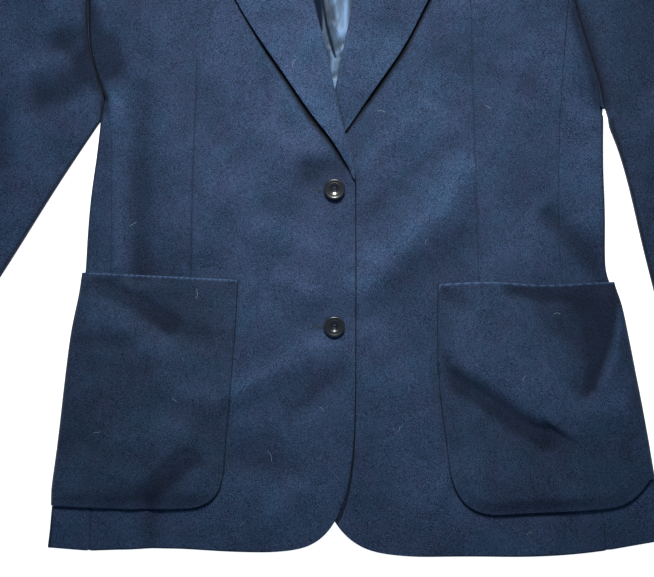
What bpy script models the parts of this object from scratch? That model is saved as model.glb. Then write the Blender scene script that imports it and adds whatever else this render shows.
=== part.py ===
"""A women's navy wool blazer laid flat, face up, with its right front buttoned over its left.

Tables and sizes are in millimetres in the garment's own plane: X runs to the wearer's left, Y from the
hem to the collar, and Z up from the surface it lies on. X is 0 at the centre front and Y is 0 at the
lowest point of the hem. The finished pieces hang under one empty, which scales them to metres and moves
the middle of the footprint to the world's origin.
"""
import math

import bmesh
import bpy
from mathutils import Vector

MILLIMETRE = 0.001

# Thicknesses and gaps
CLOTH = 2.0             # wool with its interlining
HALF = CLOTH / 2
LINING = 1.0            # satin
SEAM = 0.3              # between pieces that are sewn edge to edge
LAY = 0.5               # between a piece and the panel that it lies on
POCKET_LAY = 1.0
AIR = 2.3               # between the back and the fronts
PANEL_UNDER = CLOTH + AIR
PANEL_MID = PANEL_UNDER + HALF

# Fold radii, to the middle of the cloth, and the puff of pocket and sleeve
SIDE_FOLD = (PANEL_MID - HALF) / 2
LAPEL_ROLL = 1.5
LAPEL_TURN = 144.0      # degrees that the lapel's cloth turns before it lies back
ROLL_LEAD = 0.5         # flat cloth between the front's edge and the lapel's turn
SLEEVE_FOLD = 2.3
SLEEVE_ARCH = 1.3
SLEEVE_ARCH_POWER = 0.8
SLEEVE_SLACK = 4.0      # least width of the under sleeve's outer columns at the cuff
POCKET_PUFF = 1.2
POCKET_WRAP = 112.0     # degrees that a pocket turns round the body's side

# Lengths that drive the outline
FRONT_OVERLAP = 20.5    # from the centre front to the edge of each front
HEM_ROUND_HEIGHT = 160.0
HEM_ROUND_POWER = 3.0
BREAK_HEIGHT = 367.0    # where the lapel starts to roll back
SHOULDER_TIP = (223.0, 640.0)
NECK_POINT = (79.6, 690.0)
BACK_HEM_RISE = 30.0    # the back hem is this much higher at its middle than at the side
SIDE_BACK_INSET = (46.0, 6.0)   # from the side edge to the back's side seam, at hem and underarm
SLEEVE_TURN = 14.0      # width of the upper sleeve that is turned under at each edge
BACK_HEM_BOW = 0.72     # share of that rise which is reached near the side
BACK_HEM_BEND = 130.0   # from the centre back

# The collar's fall lies under the back, so everything above it is lifted: over which heights, and how wide
NECK_RISE = 2.6
NECK_RISE_START, NECK_RISE_LENGTH = 590.0, 60.0
NECK_RISE_REACH, NECK_RISE_FADE = 165.0, 50.0

# The right front climbs onto the left one below the break, and over the hidden part of the left lapel
CLIMB_START, CLIMB_LENGTH = -95.0, 60.0
CLIMB_END, CLIMB_END_FADE = 470.0, 80.0
LAPEL_LIFT = 3.2
HIDDEN_LAPEL = ((-9, 380), (3, 445))
HIDDEN_LAPEL_REACH, HIDDEN_LAPEL_FADE = 72.0, 50.0

# The back lifts to the fronts along the shoulder seam, between the collar and the sleeve
SHOULDER_REACH = 16.0
SHOULDER_INNER, SHOULDER_INNER_FADE = 88.0, 25.0
SHOULDER_OUTER, SHOULDER_OUTER_FADE = 220.0, 20.0

# Buttons: their places, their half section as (radius, height), and their thread holes
BUTTON_RADIUS = 10.1
BUTTON_DISH = 6.67
BUTTONS = {"button_upper": (0.4, 352.5), "button_lower": (0.4, 221.0)}
BUTTON_PROFILE = [(0.0, 1.9), (4.67, 1.95), (BUTTON_DISH, 2.3), (BUTTON_DISH + 0.7, 3.1),
                  (BUTTON_RADIUS - 1.0, 3.3), (BUTTON_RADIUS - 0.15, 2.7), (BUTTON_RADIUS, 1.9),
                  (BUTTON_RADIUS - 0.6, 0.9), (BUTTON_RADIUS - 2.0, 0.1), (0.0, 0.0)]
HOLES = 4
HOLE_RADIUS = 0.95
HOLE_CIRCLE = 2.1       # from the button's middle to the middle of each hole
HOLE_DEPTH = 12.0       # long enough to cut right through

NAVY = (0.030, 0.050, 0.098, 1.0)
SATIN = (0.19, 0.29, 0.44, 1.0)
RESIN = (0.018, 0.012, 0.014, 1.0)

# Rows that each side's seams are divided into: side seam, underarm, armhole
RIGHT_ROWS = (21, 2, 8)
LEFT_ROWS = (25, 5, 4)
CORNER_ROWS, EDGE_ROWS, ROLL_ROWS, NECK_ROWS = 7, 5, 12, 3
SLEEVE_ROWS = 14
FOLD_STEPS = 4
FRONT_COLUMNS, LAPEL_COLUMNS, LINING_STEPS = 9, 6, 10
BACK_HEM_COLUMNS, BACK_SHOULDER_COLUMNS, BACK_NECK_COLUMNS = 7, 4, 3
POCKET_ROWS, POCKET_COLUMNS = 12, 9
BUTTON_STEPS, HOLE_STEPS = 24, 10

# Side edges of the body, from the hem up: (x, y)
RIGHT_EDGE = [(-274, 8.6), (-271.8, 45), (-267.4, 74), (-258.6, 147), (-250.8, 211), (-245.4, 237),
              (-240, 262), (-238.5, 281), (-237.6, 304), (-234.3, 343), (-229, 381), (-224.5, 418)]
LEFT_EDGE = [(318.8, 16), (311.5, 47), (304, 84.5), (297.2, 125), (285.8, 185), (273, 246),
             (267, 260), (262.8, 269), (261.2, 281), (260.4, 333), (258.6, 377), (259, 424)]

# Seam from the front to the side panel, from the hem up to the armhole: (x, y)
RIGHT_SIDE_SEAM = [(-234.8, 6.2), (-233.5, 47), (-222, 170), (-214.6, 272), (-213.5, 343), (-213.5, 390),
                   (-215.5, 420), (-219, 440)]
LEFT_SIDE_SEAM = [(262, 6.2), (257, 47), (232, 175), (219, 263), (216, 330), (216.2, 394), (219, 454),
                  (222, 495), (227, 545)]

# Underarm, from the side edge up to that seam, and armhole, from it to the shoulder: (x, y)
RIGHT_UNDERARM = [(-224.5, 418), (-221.5, 429), (-219, 440)]
LEFT_UNDERARM = [(259, 424), (256.3, 450), (245.5, 484), (234.4, 520), (227, 545)]
RIGHT_ARMHOLE = [(-219, 440), (-226.6, 458), (-234.5, 487), (-236.2, 510), (-236.2, 540), (-235, 575),
                 (-230, 610), (-223, 640)]
LEFT_ARMHOLE = [(227, 545), (225.5, 575), (225, 610), (223, 640)]

# Front hem, from the rounded corner to the side seam: (x, y)
RIGHT_HEM = [(-62, 4.6), (-83, 4.6), (-108.5, 5.7), (-145, 7.9), (-165, 8.4), (-199.7, 7.2), (-234.8, 6.2)]
LEFT_HEM = [(80, 0), (104, 0.2), (131.5, 0.6), (172.2, 0.3), (204, 1.0), (232.8, 2.7), (262, 6.2)]

# Outer edge of each lapel, and its roll line, from the break up: (x, y)
RIGHT_LAPEL_EDGE = [(13.6, 374), (8.4, 383), (-3.3, 402), (-21.6, 423.6), (-37.8, 447.8), (-64, 486.2),
                    (-80.3, 510.4), (-94.4, 534.7), (-109, 562)]
LEFT_LAPEL_EDGE = [(-15, 374), (-7, 386), (11.5, 408.5), (26.8, 431.7), (47, 459.9), (65.2, 486.2),
                   (77.3, 508.4), (90.4, 534.7), (104, 562)]
RIGHT_ROLL = [(20.5, 367), (17.2, 381), (10.6, 407), (3.4, 434.9), (-2.4, 464.6), (-8.6, 491.5),
              (-14, 512), (-19.6, 535), (-25, 572), (-31, 606)]
LEFT_ROLL = [(-20.5, 367), (-15, 385), (-6.5, 415), (1.4, 451.2), (7, 480), (12, 503), (17.3, 530),
             (24, 570), (31, 606)]
GORGE_NOTCH = (72, 589)         # where collar and lapel part, from the centre front
NOTCH_SHARE = 2 / 3             # how far along the lapel's top edge that is

# Neck seam, from the roll line to the shoulder and from there to the centre back: (x, y)
FRONT_NECK = [(37.9, 607), (56.4, 635.5), (71.3, 660.5), NECK_POINT]
BACK_NECK = [NECK_POINT, (48, 684), (22, 680), (0, 679)]

# The collar's sections from its front end to the centre back. Each row holds the neck seam, the fold,
# the middle of the fall and the outer edge, each as (x, y, z) of the cloth's middle, and the fold's radius.
COLLAR_SECTIONS = [
    ((37.0, 609.8, 6.0), (31.9, 608.2, 7.4), (72.3, 590.6, 8.2), (98.0, 612.6, 8.8), 1.5),
    ((50.3, 629.9, 7.3), (39.0, 632.0, 9.0), (78.0, 622.0, 9.6), (102.0, 637.0, 10.2), 1.6),
    ((65.0, 653.7, 7.9), (49.0, 657.0, 9.8), (83.0, 654.0, 10.7), (106.0, 662.0, 10.6), 1.8),
    ((74.4, 677.6, 7.8), (57.0, 684.0, 10.4), (87.0, 686.0, 11.4), (107.5, 686.0, 10.6), 1.8),
    ((77.5, 692.5, 5.8), (54.0, 701.0, 8.0), (81.0, 704.5, 7.4), (98.0, 698.5, 5.4), 1.8),
    ((68.0, 691.6, 4.3), (47.0, 708.5, 5.4), (71.0, 705.5, 3.4), (86.0, 693.5, 1.7), 1.7),
    ((54.0, 686.8, 3.7), (36.0, 712.5, 3.9), (54.0, 701.0, 1.2), (68.0, 680.0, 1.1), 1.5),
    ((28.0, 681.8, 3.6), (19.0, 717.5, 2.5), (27.0, 697.0, 1.1), (36.0, 671.0, 1.1), 1.3),
    ((0.0, 679.8, 3.6), (0.0, 719.0, 2.4), (0.0, 696.0, 1.1), (0.0, 669.0, 1.1), 1.3),
]
COLLAR_LOWEST = HALF + 0.05     # of the cloth's middle

# The satin lining's side and top edges, below and behind the neck: (x, y)
LINING_SIDE = [(-62, 440), (-70, 560), (-66, 640), (-60, 677)]
LINING_TOP = [(-60, 677), (-30, 674), (0, 673), (30, 674), (60, 677)]
LINING_OPEN = (480.0, 640.0)    # heights between which it may crumple
LINING_FADE = 40.0

# Sleeve edges, from below the armhole to the cuff: (x, y)
RIGHT_SLEEVE_INNER = [(-267.5, 354), (-316, 276), (-366.5, 200), (-413, 130), (-455, 66)]
RIGHT_SLEEVE_OUTER = [(-262, 624), (-305, 597), (-345, 561), (-377, 521), (-440, 416), (-503, 276),
                      (-565, 137)]
LEFT_SLEEVE_INNER = [(273.6, 393), (285.6, 349), (296.5, 300), (307.5, 256), (332, 158), (363, 36)]
LEFT_SLEEVE_OUTER = [(268, 627), (315, 599), (360, 559), (397, 514), (428, 462), (460, 330), (474, 200),
                     (488, 68)]

# Pocket outlines: the inner edge and the mouth start at the mouth's inner end: (x, y)
RIGHT_POCKET_INNER = [(-92.4, 266), (-95.4, 215.4), (-98.4, 179), (-100.8, 145), (-104, 114), (-106, 80),
                      (-110, 62), (-119, 51.5), (-133, 47.3)]
RIGHT_POCKET_BOTTOM = [(-133, 47.3), (-169, 46), (-212, 46.8)]
RIGHT_POCKET_MOUTH = [(-92.4, 266), (-138.8, 268.4), (-179.5, 270.4)]
RIGHT_POCKET_SIDE = (274.0, 47.7)       # heights where mouth and bottom meet the side edge
LEFT_POCKET_INNER = [(100.5, 262), (99.6, 215.4), (100.5, 179), (103.5, 144.7), (108.5, 108.5), (111.6, 80),
                     (116, 63), (126, 49), (138, 42.7), (152, 40)]
LEFT_POCKET_BOTTOM = [(152, 40), (182.4, 42.2), (222.7, 43.7), (269.2, 47.7), (287, 54)]
LEFT_POCKET_MOUTH = [(100.5, 262), (144, 264.2), (172, 263), (202.6, 260.8), (232.8, 262.2)]
LEFT_POCKET_SIDE = (264.5, 72.0)

# Soft folds: start (x, y), end (x, y), height (a trough is below 0) and half width
FRONT_RIGHT_FOLDS = [
    ((-166, 505), (-160, 300), 1.7, 19),
    ((-120, 215), (-60, 170), 1.4, 24),
]
FRONT_LEFT_FOLDS = [
    ((72, 285), (118, 350), 1.8, 22),
    ((85, 400), (150, 430), 1.4, 22),
]
RIGHT_POCKET_FOLDS = [
    ((-210, 205), (-130, 180), 1.4, 20),
    ((-190, 90), (-130, 105), 1.2, 20),
]
LEFT_POCKET_FOLDS = [
    ((115, 190), (225, 118), -1.2, 16),
    ((135, 215), (215, 160), 1.5, 20),
]
LINING_FOLDS = [
    ((-2, 500), (-6, 600), 0.6, 8),
    ((12, 500), (14, 620), 0.6, 8),
]


def ease(value):
    """A soft step from 0 to 1."""
    value = max(0.0, min(1.0, value))
    return value * value * (3 - 2 * value)


def distance_to_segment(x, y, start, end):
    along = Vector(end) - Vector(start)
    offset = Vector((x, y)) - Vector(start)
    share = max(0.0, min(1.0, offset.dot(along) / along.length_squared))
    return (offset - along * share).length


def fold_height(x, y, folds):
    return sum(height * math.exp(-(distance_to_segment(x, y, start, end) / width) ** 2)
               for start, end, height, width in folds)


def flow_through(points, steps):
    """Points on a Catmull-Rom curve, with the same number of steps between each two given points."""
    points = [Vector(p) for p in points]
    ends = [2 * points[0] - points[1]] + points + [2 * points[-1] - points[-2]]
    found = []
    for before, start, end, after in zip(ends, ends[1:], ends[2:], ends[3:]):
        for step in range(steps):
            t = step / steps
            bend = 2 * before - 5 * start + 4 * end - after
            twist = 3 * start - before - 3 * end + after
            found.append(0.5 * (2 * start + (end - before) * t + bend * t ** 2 + twist * t ** 3))
    return found + [points[-1]]


def walk(points, distance):
    """The point at a distance along a line of points."""
    for start, end in zip(points, points[1:]):
        step = (end - start).length
        if distance <= step:
            return start.lerp(end, distance / step)
        distance -= step
    return points[-1].copy()


def length_of(points):
    return sum((end - start).length for start, end in zip(points, points[1:]))


def smooth_curve(points, count):
    """count + 1 evenly spaced points on a smooth curve through the given points."""
    fine = flow_through(points, 12)
    return [walk(fine, length_of(fine) * step / count) for step in range(count + 1)]


def patch(first, last, start, end):
    """Rows of points that fill the space between four curves (a Coons patch).

    Row i runs from first[i] to last[i]. The first row follows start and the last one follows end.
    """
    rows, columns = len(first) - 1, len(start) - 1
    grid = []
    for i in range(rows + 1):
        t, row = i / rows, []
        for j in range(columns + 1):
            s = j / columns
            ruled = first[i].lerp(last[i], s) + start[j].lerp(end[j], t)
            corners = start[0].lerp(start[-1], s).lerp(end[0].lerp(end[-1], s), t)
            row.append(ruled - corners)
        grid.append(row)
    return grid


def grid_mesh(grid):
    """A bmesh surface with one vertex for each point of the grid."""
    rows, columns = len(grid) - 1, len(grid[0]) - 1
    bm = bmesh.new()
    bmesh.ops.create_grid(bm, x_segments=columns, y_segments=rows, size=0.5)
    for vertex in bm.verts:
        j = round((vertex.co.x + 0.5) * columns)
        i = round((vertex.co.y + 0.5) * rows)
        vertex.co = grid[i][j].to_3d()
    return bm


def make_object(name, bm, colour, roughness):
    bmesh.ops.recalc_face_normals(bm, faces=bm.faces[:])
    mesh = bpy.data.meshes.new(name)
    bm.to_mesh(mesh)
    bm.free()
    mesh.shade_smooth()
    mesh.set_sharp_from_angle(angle=math.radians(50))
    material = bpy.data.materials.new(name)
    material.use_nodes = True
    shader = material.node_tree.nodes["Principled BSDF"]
    shader.inputs["Base Color"].default_value = colour
    shader.inputs["Roughness"].default_value = roughness
    mesh.materials.append(material)
    piece = bpy.data.objects.new(name, mesh)
    bpy.context.scene.collection.objects.link(piece)
    piece.parent = GARMENT
    return piece


def lying_cloth(name, grid, under, thickness=CLOTH, colour=NAVY, roughness=0.9):
    """A panel in the garment's plane, with its underside at the height under(x, y)."""
    bm = grid_mesh(grid)
    for vertex in bm.verts:
        vertex.co.z = under(vertex.co.x, vertex.co.y)
    made = bmesh.ops.extrude_face_region(bm, geom=bm.faces[:])
    raised = [v for v in made["geom"] if isinstance(v, bmesh.types.BMVert)]
    bmesh.ops.translate(bm, verts=raised, vec=(0, 0, thickness))
    return make_object(name, bm, colour, roughness)


def folded_cloth(name, grid):
    """A panel that folds over itself, with half of its thickness on each side of the grid.

    Its underside is pressed flat where it lies on the surface.
    """
    piece = make_object(name, grid_mesh(grid), NAVY, 0.9)
    wall = piece.modifiers.new("wall", "SOLIDIFY")
    wall.thickness = CLOTH
    wall.offset = 0.0
    mesh = bpy.data.meshes.new_from_object(piece.evaluated_get(bpy.context.evaluated_depsgraph_get()))
    for vertex in mesh.vertices:
        vertex.co.z = max(vertex.co.z, 0.0)
    piece.modifiers.clear()
    piece.data = mesh
    return piece


def at_height(point, z):
    return Vector((point.x, point.y, z))


def turn_points(centre, outward, low, radius, start, end, steps):
    """Points of a fold round an axis. The angles are in degrees from straight down, outwards and up."""
    points = []
    for step in range(steps + 1):
        angle = math.radians(start + (end - start) * step / steps)
        point = centre + outward * (radius * math.sin(angle))
        points.append(at_height(point, low + radius * (1 - math.cos(angle))))
    return points


def neck_rise(x, y):
    up = ease((y - NECK_RISE_START) / NECK_RISE_LENGTH)
    return NECK_RISE * up * ease((NECK_RISE_REACH - abs(x)) / NECK_RISE_FADE)


def left_front_under(x, y):
    return PANEL_UNDER + neck_rise(x, y) + fold_height(x, y, FRONT_LEFT_FOLDS)


def right_front_under(x, y):
    """Over the back at the side, the left front at the middle, and the left lapel at the break."""
    over_front = ease((x - CLIMB_START) / CLIMB_LENGTH) * (CLOTH + LAY)
    over_front *= 1 - ease((y - CLIMB_END) / CLIMB_END_FADE)
    to_lapel = distance_to_segment(x, y, *HIDDEN_LAPEL)
    over_lapel = ease((HIDDEN_LAPEL_REACH - to_lapel) / HIDDEN_LAPEL_FADE) * LAPEL_LIFT
    return PANEL_UNDER + neck_rise(x, y) + over_front + over_lapel + fold_height(x, y, FRONT_RIGHT_FOLDS)


def hem_corner(centre_x, edge_x, hem_y):
    """The rounded corner of a front, from its hem to its straight edge."""
    points = []
    for k in range(CORNER_ROWS + 1):
        angle = math.pi / 2 * k / CORNER_ROWS
        across = math.sin(angle) ** (2 / HEM_ROUND_POWER)
        up = 1 - math.cos(angle) ** (2 / HEM_ROUND_POWER)
        points.append(Vector((centre_x + (edge_x - centre_x) * across, hem_y + HEM_ROUND_HEIGHT * up)))
    return points


def roll_start(side, roll):
    """Where the front's cloth ends and the lapel's begins, inside the roll line."""
    inset = LAPEL_ROLL + HALF + ROLL_LEAD + SEAM
    return [p + Vector((side * inset, 0)) for p in smooth_curve(roll, ROLL_ROWS)]


def front(name, side, rows, hem, side_seam, armhole, roll, under):
    """A front. Its inner edge is the round corner, the buttoned edge, the roll line and the neck seam."""
    edge_x = -side * FRONT_OVERLAP
    corner = hem_corner(hem[0][0], edge_x, hem[0][1])
    straight = smooth_curve([corner[-1], (edge_x, BREAK_HEIGHT - 3)], EDGE_ROWS)
    neck = smooth_curve([(side * x, y) for x, y in FRONT_NECK], NECK_ROWS)
    inner = corner + straight[1:] + roll_start(side, roll) + neck
    outer = smooth_curve(side_seam, rows[0]) + smooth_curve(armhole, rows[2])[1:]
    bottom = smooth_curve(list(reversed(hem)), FRONT_COLUMNS)
    shoulder = smooth_curve([armhole[-1], (side * NECK_POINT[0], NECK_POINT[1])], FRONT_COLUMNS)
    grid = patch(outer, inner, bottom, shoulder)
    for row in grid:
        row[0] = row[0] + (row[1] - row[0]).normalized() * SEAM / 2
    return lying_cloth(name, grid, under)


def back_seam_inset(share):
    """How far the back's side seam lies in from the side edge, from hem (0) to underarm (1)."""
    low, high = SIDE_BACK_INSET
    return low + (high - low) * ease(share)


def side_panel(name, side, rows, edge, front_seam, underarm):
    """A side panel, from the front's seam over the fold of the body's side to the back's seam."""
    count = rows[0]
    outward = Vector((side, 0))
    arm = list(reversed(smooth_curve(underarm, rows[1])))
    across = max(3, rows[1])
    grid = []
    for i, (tip, seam) in enumerate(zip(smooth_curve(edge, count), smooth_curve(front_seam, count))):
        bend = tip - outward * (SIDE_FOLD + HALF)
        start = seam + outward * SEAM / 2
        line = [start.lerp(bend, j / across) for j in range(across)]
        if i == count:
            line = smooth_curve(arm[:-1] + [bend], across)[:-1] if rows[1] < across else arm[:-1]
            line[0] = start
        row = [at_height(p, PANEL_MID) for p in line]
        row += turn_points(bend, outward, HALF, SIDE_FOLD, 180, 0, FOLD_STEPS)
        seam_under = tip - outward * back_seam_inset(i / count)
        row += [at_height(bend.lerp(seam_under, j / 2), HALF) for j in (1, 2)]
        grid.append(row)
    return folded_cloth(name, grid)


def back_under(x, y):
    """On the surface, over the collar's fall at the neck, and up to the front along the shoulder."""
    near_seam = ease(1 - distance_to_segment(abs(x), y, NECK_POINT, SHOULDER_TIP) / SHOULDER_REACH)
    past_collar = ease((abs(x) - SHOULDER_INNER) / SHOULDER_INNER_FADE)
    before_sleeve = ease((SHOULDER_OUTER - abs(x)) / SHOULDER_OUTER_FADE)
    return neck_rise(x, y) + (AIR - 2 * SEAM) * near_seam * past_collar * before_sleeve


def back(name, side, rows, edge, underarm, armhole):
    """Half of the back, from the side panel's seam to the centre seam."""
    seam = []
    for i, tip in enumerate(smooth_curve(edge, rows[0])):
        seam.append(tip - Vector((side * (back_seam_inset(i / rows[0]) + SEAM), 0)))
    outer = seam + smooth_curve(underarm, rows[1])[1:] + smooth_curve(armhole, rows[2])[1:]
    hem_y = edge[0][1] + BACK_HEM_RISE
    centre = smooth_curve([(side * SEAM / 2, hem_y), (side * SEAM / 2, BACK_NECK[-1][1])], len(outer) - 1)
    bow = (side * BACK_HEM_BEND, edge[0][1] + BACK_HEM_BOW * BACK_HEM_RISE)
    bottom = smooth_curve([outer[0], bow, centre[0]], BACK_HEM_COLUMNS)
    shoulder = smooth_curve([outer[-1], (side * NECK_POINT[0], NECK_POINT[1])], BACK_SHOULDER_COLUMNS)
    neck = smooth_curve([(side * x, y) for x, y in BACK_NECK], BACK_NECK_COLUMNS)
    neck[-1] = centre[-1]
    return lying_cloth(name, patch(outer, centre, bottom, shoulder + neck[1:]), back_under)


def lapel(name, side, edge, roll, under):
    """A lapel. Its cloth turns at the roll line, beside the front's edge, and lies back over the front."""
    outward = Vector((side, 0))
    notch = Vector((side * GORGE_NOTCH[0], GORGE_NOTCH[1]))
    grid = []
    for i, (start, tip) in enumerate(zip(roll_start(side, roll), smooth_curve(edge, ROLL_ROWS))):
        base = under(start.x, start.y) + HALF
        row = [at_height(start - outward * SEAM, base)]
        centre = start - outward * (SEAM + ROLL_LEAD)
        row += turn_points(centre, -outward, base, LAPEL_ROLL, 0, LAPEL_TURN, FOLD_STEPS)
        towards_gorge = ease((i - ROLL_ROWS + 3) / 3)
        for j in range(LAPEL_COLUMNS + 1):
            share = j / LAPEL_COLUMNS
            if share < NOTCH_SHARE:
                gorge = start.lerp(notch, share / NOTCH_SHARE)
            else:
                gorge = notch.lerp(tip, (share - NOTCH_SHARE) / (1 - NOTCH_SHARE))
            p = start.lerp(tip, share).lerp(gorge, towards_gorge)
            lift = 2 * LAPEL_ROLL * (1 - ease(share)) + (CLOTH + LAY) * ease(share)
            row.append(at_height(p, under(p.x, p.y) + HALF + lift))
        grid.append(row)
    return folded_cloth(name, grid)


def edge_between(edge, top_y, low_y, count):
    """Points of a side edge, from one height down to another."""
    fine = [p for p in flow_through(list(reversed(edge)), 12) if low_y <= p.y <= top_y]
    return [walk(fine, length_of(fine) * step / count) for step in range(count + 1)]


def pocket(name, side, inner, bottom, mouth, heights, edge, under, folds):
    """A patch pocket on a front. It reaches over the side panel and a little way round the body's side."""
    rows, across = POCKET_ROWS, POCKET_COLUMNS
    outward = Vector((side, 0))
    radius = SIDE_FOLD + CLOTH + POCKET_LAY
    ends = [p - outward * (SIDE_FOLD + HALF) for p in edge_between(edge, *heights, rows)]
    flat = patch(smooth_curve(inner, rows), ends, smooth_curve(mouth + [ends[0]], across),
                 smooth_curve(bottom + [ends[-1]], across))
    grid = []
    for i, points in enumerate(flat):
        row = []
        for j, p in enumerate(points[:-1]):
            inside = ease(4 * j / across) * ease(4 * (across - j) / across) * ease(4 * (rows - i) / rows)
            puff = inside * (POCKET_PUFF + max(-POCKET_PUFF, fold_height(p.x, p.y, folds)))
            row.append(at_height(p, under(p.x, p.y) + CLOTH + POCKET_LAY + HALF + puff))
        low = HALF + SIDE_FOLD - radius
        row += turn_points(points[-1], outward, low, radius, 180, 180 - POCKET_WRAP, FOLD_STEPS)
        grid.append(row)
    return folded_cloth(name, grid)


def sleeve_plan(side, inner, outer, underarm, armhole, rows):
    """The sleeve's outline as rows of points: each runs from the underarm's edge to the shoulder's."""
    arm = smooth_curve(underarm, rows[1]) + smooth_curve(armhole, rows[2])[1:]
    cap = [p + Vector((side * 2 * SEAM, 0)) for p in arm]
    cap[0] = walk(cap, 4 * SEAM)
    inner_rows = smooth_curve([cap[0]] + inner, SLEEVE_ROWS)
    outer_rows = smooth_curve([cap[-1]] + outer, SLEEVE_ROWS)
    shares = [length_of(cap[:j + 1]) / length_of(cap) for j in range(len(cap))]
    cuff = [inner_rows[-1].lerp(outer_rows[-1], share) for share in shares]
    return patch(inner_rows, outer_rows, cap, cuff)


def turned_width(plan, points):
    """How far in the upper sleeve's turned edge ends: at a corner of the armhole, and level from there."""
    least = SLEEVE_FOLD + HALF + SLEEVE_TURN
    cap = plan[0]
    corners = [length_of(cap[:j + 1]) for j in range(len(cap))]
    share = min(corner for corner in corners if corner >= least) / corners[-1]
    return max(least, share * length_of(points))


def sleeve_edge(plan, points):
    """One edge of an upper sleeve's row, from the turned edge round the fold to the top."""
    turned = walk(points, turned_width(plan, points))
    outward = (points[0] - turned).normalized()
    bend = walk(points, SLEEVE_FOLD + HALF)
    return [at_height(turned, HALF)] + turn_points(bend, outward, HALF, SLEEVE_FOLD, 0, 180, FOLD_STEPS)


def other_way(points):
    return list(reversed(points))


def sleeve_upper(name, plan):
    """The upper sleeve: an arch between two folded edges, turned under at both."""
    turned_plan = [other_way(points) for points in plan]
    grid = []
    for points in plan:
        top = []
        for j, p in enumerate(points[1:-1], 1):
            arch = SLEEVE_ARCH * math.sin(math.pi * j / (len(points) - 1)) ** SLEEVE_ARCH_POWER
            top.append(at_height(p, HALF + 2 * SLEEVE_FOLD + arch))
        last = sleeve_edge(turned_plan, other_way(points))
        grid.append(sleeve_edge(plan, points) + top + other_way(last))
    return folded_cloth(name, grid)


def sleeve_under(name, plan):
    """The under sleeve: flat on the surface, between the upper sleeve's turned edges."""
    turned_plan = [other_way(points) for points in plan]
    cuff = plan[-1]
    room = turned_width(plan, cuff) + SLEEVE_SLACK
    kept = [j for j in range(len(cuff)) if room < length_of(cuff[:j + 1]) < length_of(cuff) - room]
    grid = []
    for points in plan:
        start = walk(points, turned_width(plan, points) + SEAM)
        end = walk(other_way(points), turned_width(turned_plan, other_way(points)) + SEAM)
        grid.append([start] + [points[j] for j in kept] + [end])
    return lying_cloth(name, grid, lambda x, y: 0.0)


def collar_section(neck, fold, middle, edge, radius):
    """One section of the collar, from the neck seam over the fold to the outer edge."""
    neck, fold, middle, edge = Vector(neck), Vector(fold), Vector(middle), Vector(edge)
    inward = ((neck - fold).normalized() + (middle - fold).normalized()).normalized()
    across = middle - neck
    across = (across - inward * across.dot(inward)).normalized()
    centre = fold + inward * radius
    turn = [centre - inward * radius * math.cos(a) + across * radius * math.sin(a)
            for a in (-math.pi / 2, -math.pi / 4, 0, math.pi / 4, math.pi / 2)]
    points = [neck] + turn + [turn[-1].lerp(middle, 0.5), middle, middle.lerp(edge, 0.5), edge]
    for p in points:
        p.z = max(p.z, COLLAR_LOWEST)
    return points


def collar():
    """Stand and fall in one strip. Its fall lies over the fronts, and under the back."""
    lines = zip(*[collar_section(*row) for row in COLLAR_SECTIONS])
    columns = []
    for line in lines:
        left = flow_through(line, 2)
        for p in left:
            p.z = max(p.z, COLLAR_LOWEST)
        columns.append(left + [Vector((-p.x, p.y, p.z)) for p in reversed(left[:-1])])
    return folded_cloth("collar", list(zip(*columns)))


def lining():
    """The satin inside the back, where the neck opening shows it."""
    left = smooth_curve(LINING_SIDE, LINING_STEPS)
    right = [Vector((-p.x, p.y)) for p in left]
    top = smooth_curve(LINING_TOP, LINING_STEPS)
    flat = patch(left, right, smooth_curve([left[0], right[0]], LINING_STEPS), top)
    return lying_cloth("lining_back", flat, lining_under, LINING, SATIN, 0.35)


def lining_under(x, y):
    low, high = LINING_OPEN
    in_opening = ease((y - low) / LINING_FADE) * ease((high - y) / LINING_FADE)
    return CLOTH + LAY + neck_rise(x, y) + in_opening * fold_height(x, y, LINING_FOLDS)


def button(name, place):
    """A turned button with a raised rim, a dished middle and four holes."""
    bm = bmesh.new()
    points = [bm.verts.new((radius, 0, z)) for radius, z in BUTTON_PROFILE]
    edges = [bm.edges.new(pair) for pair in zip(points, points[1:])]
    bmesh.ops.spin(bm, geom=points + edges, cent=(0, 0, 0), axis=(0, 0, 1), angle=math.tau,
                   steps=BUTTON_STEPS, use_merge=True)
    bmesh.ops.remove_doubles(bm, verts=bm.verts[:], dist=0.001)
    piece = make_object(name, bm, RESIN, 0.25)
    piece.location = (*place, right_front_under(*place) + CLOTH + LAY)
    for k in range(HOLES):
        cut = piece.modifiers.new(f"hole_{k}", "BOOLEAN")
        cut.operation = "DIFFERENCE"
        cut.object = hole_cutter(piece, k)
    return piece


def hole_cutter(piece, k):
    """A pin that cuts one of a button's thread holes."""
    bm = bmesh.new()
    bmesh.ops.create_cone(bm, cap_ends=True, segments=HOLE_STEPS, radius1=HOLE_RADIUS,
                          radius2=HOLE_RADIUS, depth=HOLE_DEPTH)
    cutter = make_object(f"{piece.name}_hole_{k}", bm, RESIN, 0.5)
    cutter.parent = piece
    angle = math.tau * (k + 0.5) / HOLES
    cutter.location = (HOLE_CIRCLE * math.cos(angle), HOLE_CIRCLE * math.sin(angle), 0)
    cutter.hide_render = True
    cutter.display_type = "WIRE"
    return cutter


def centre_footprint():
    """Scales the garment to metres and moves the middle of its footprint to the world's origin."""
    GARMENT.scale = (MILLIMETRE,) * 3
    bpy.context.view_layer.update()
    graph = bpy.context.evaluated_depsgraph_get()
    corners = []
    for piece in bpy.data.objects:
        if piece.type == "MESH" and not piece.hide_render:
            made = piece.evaluated_get(graph)
            corners += [made.matrix_world @ v.co for v in made.data.vertices]
    for axis in range(2):
        values = [c[axis] for c in corners]
        GARMENT.location[axis] = -(min(values) + max(values)) / 2


for old in list(bpy.data.objects):
    bpy.data.objects.remove(old)

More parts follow.
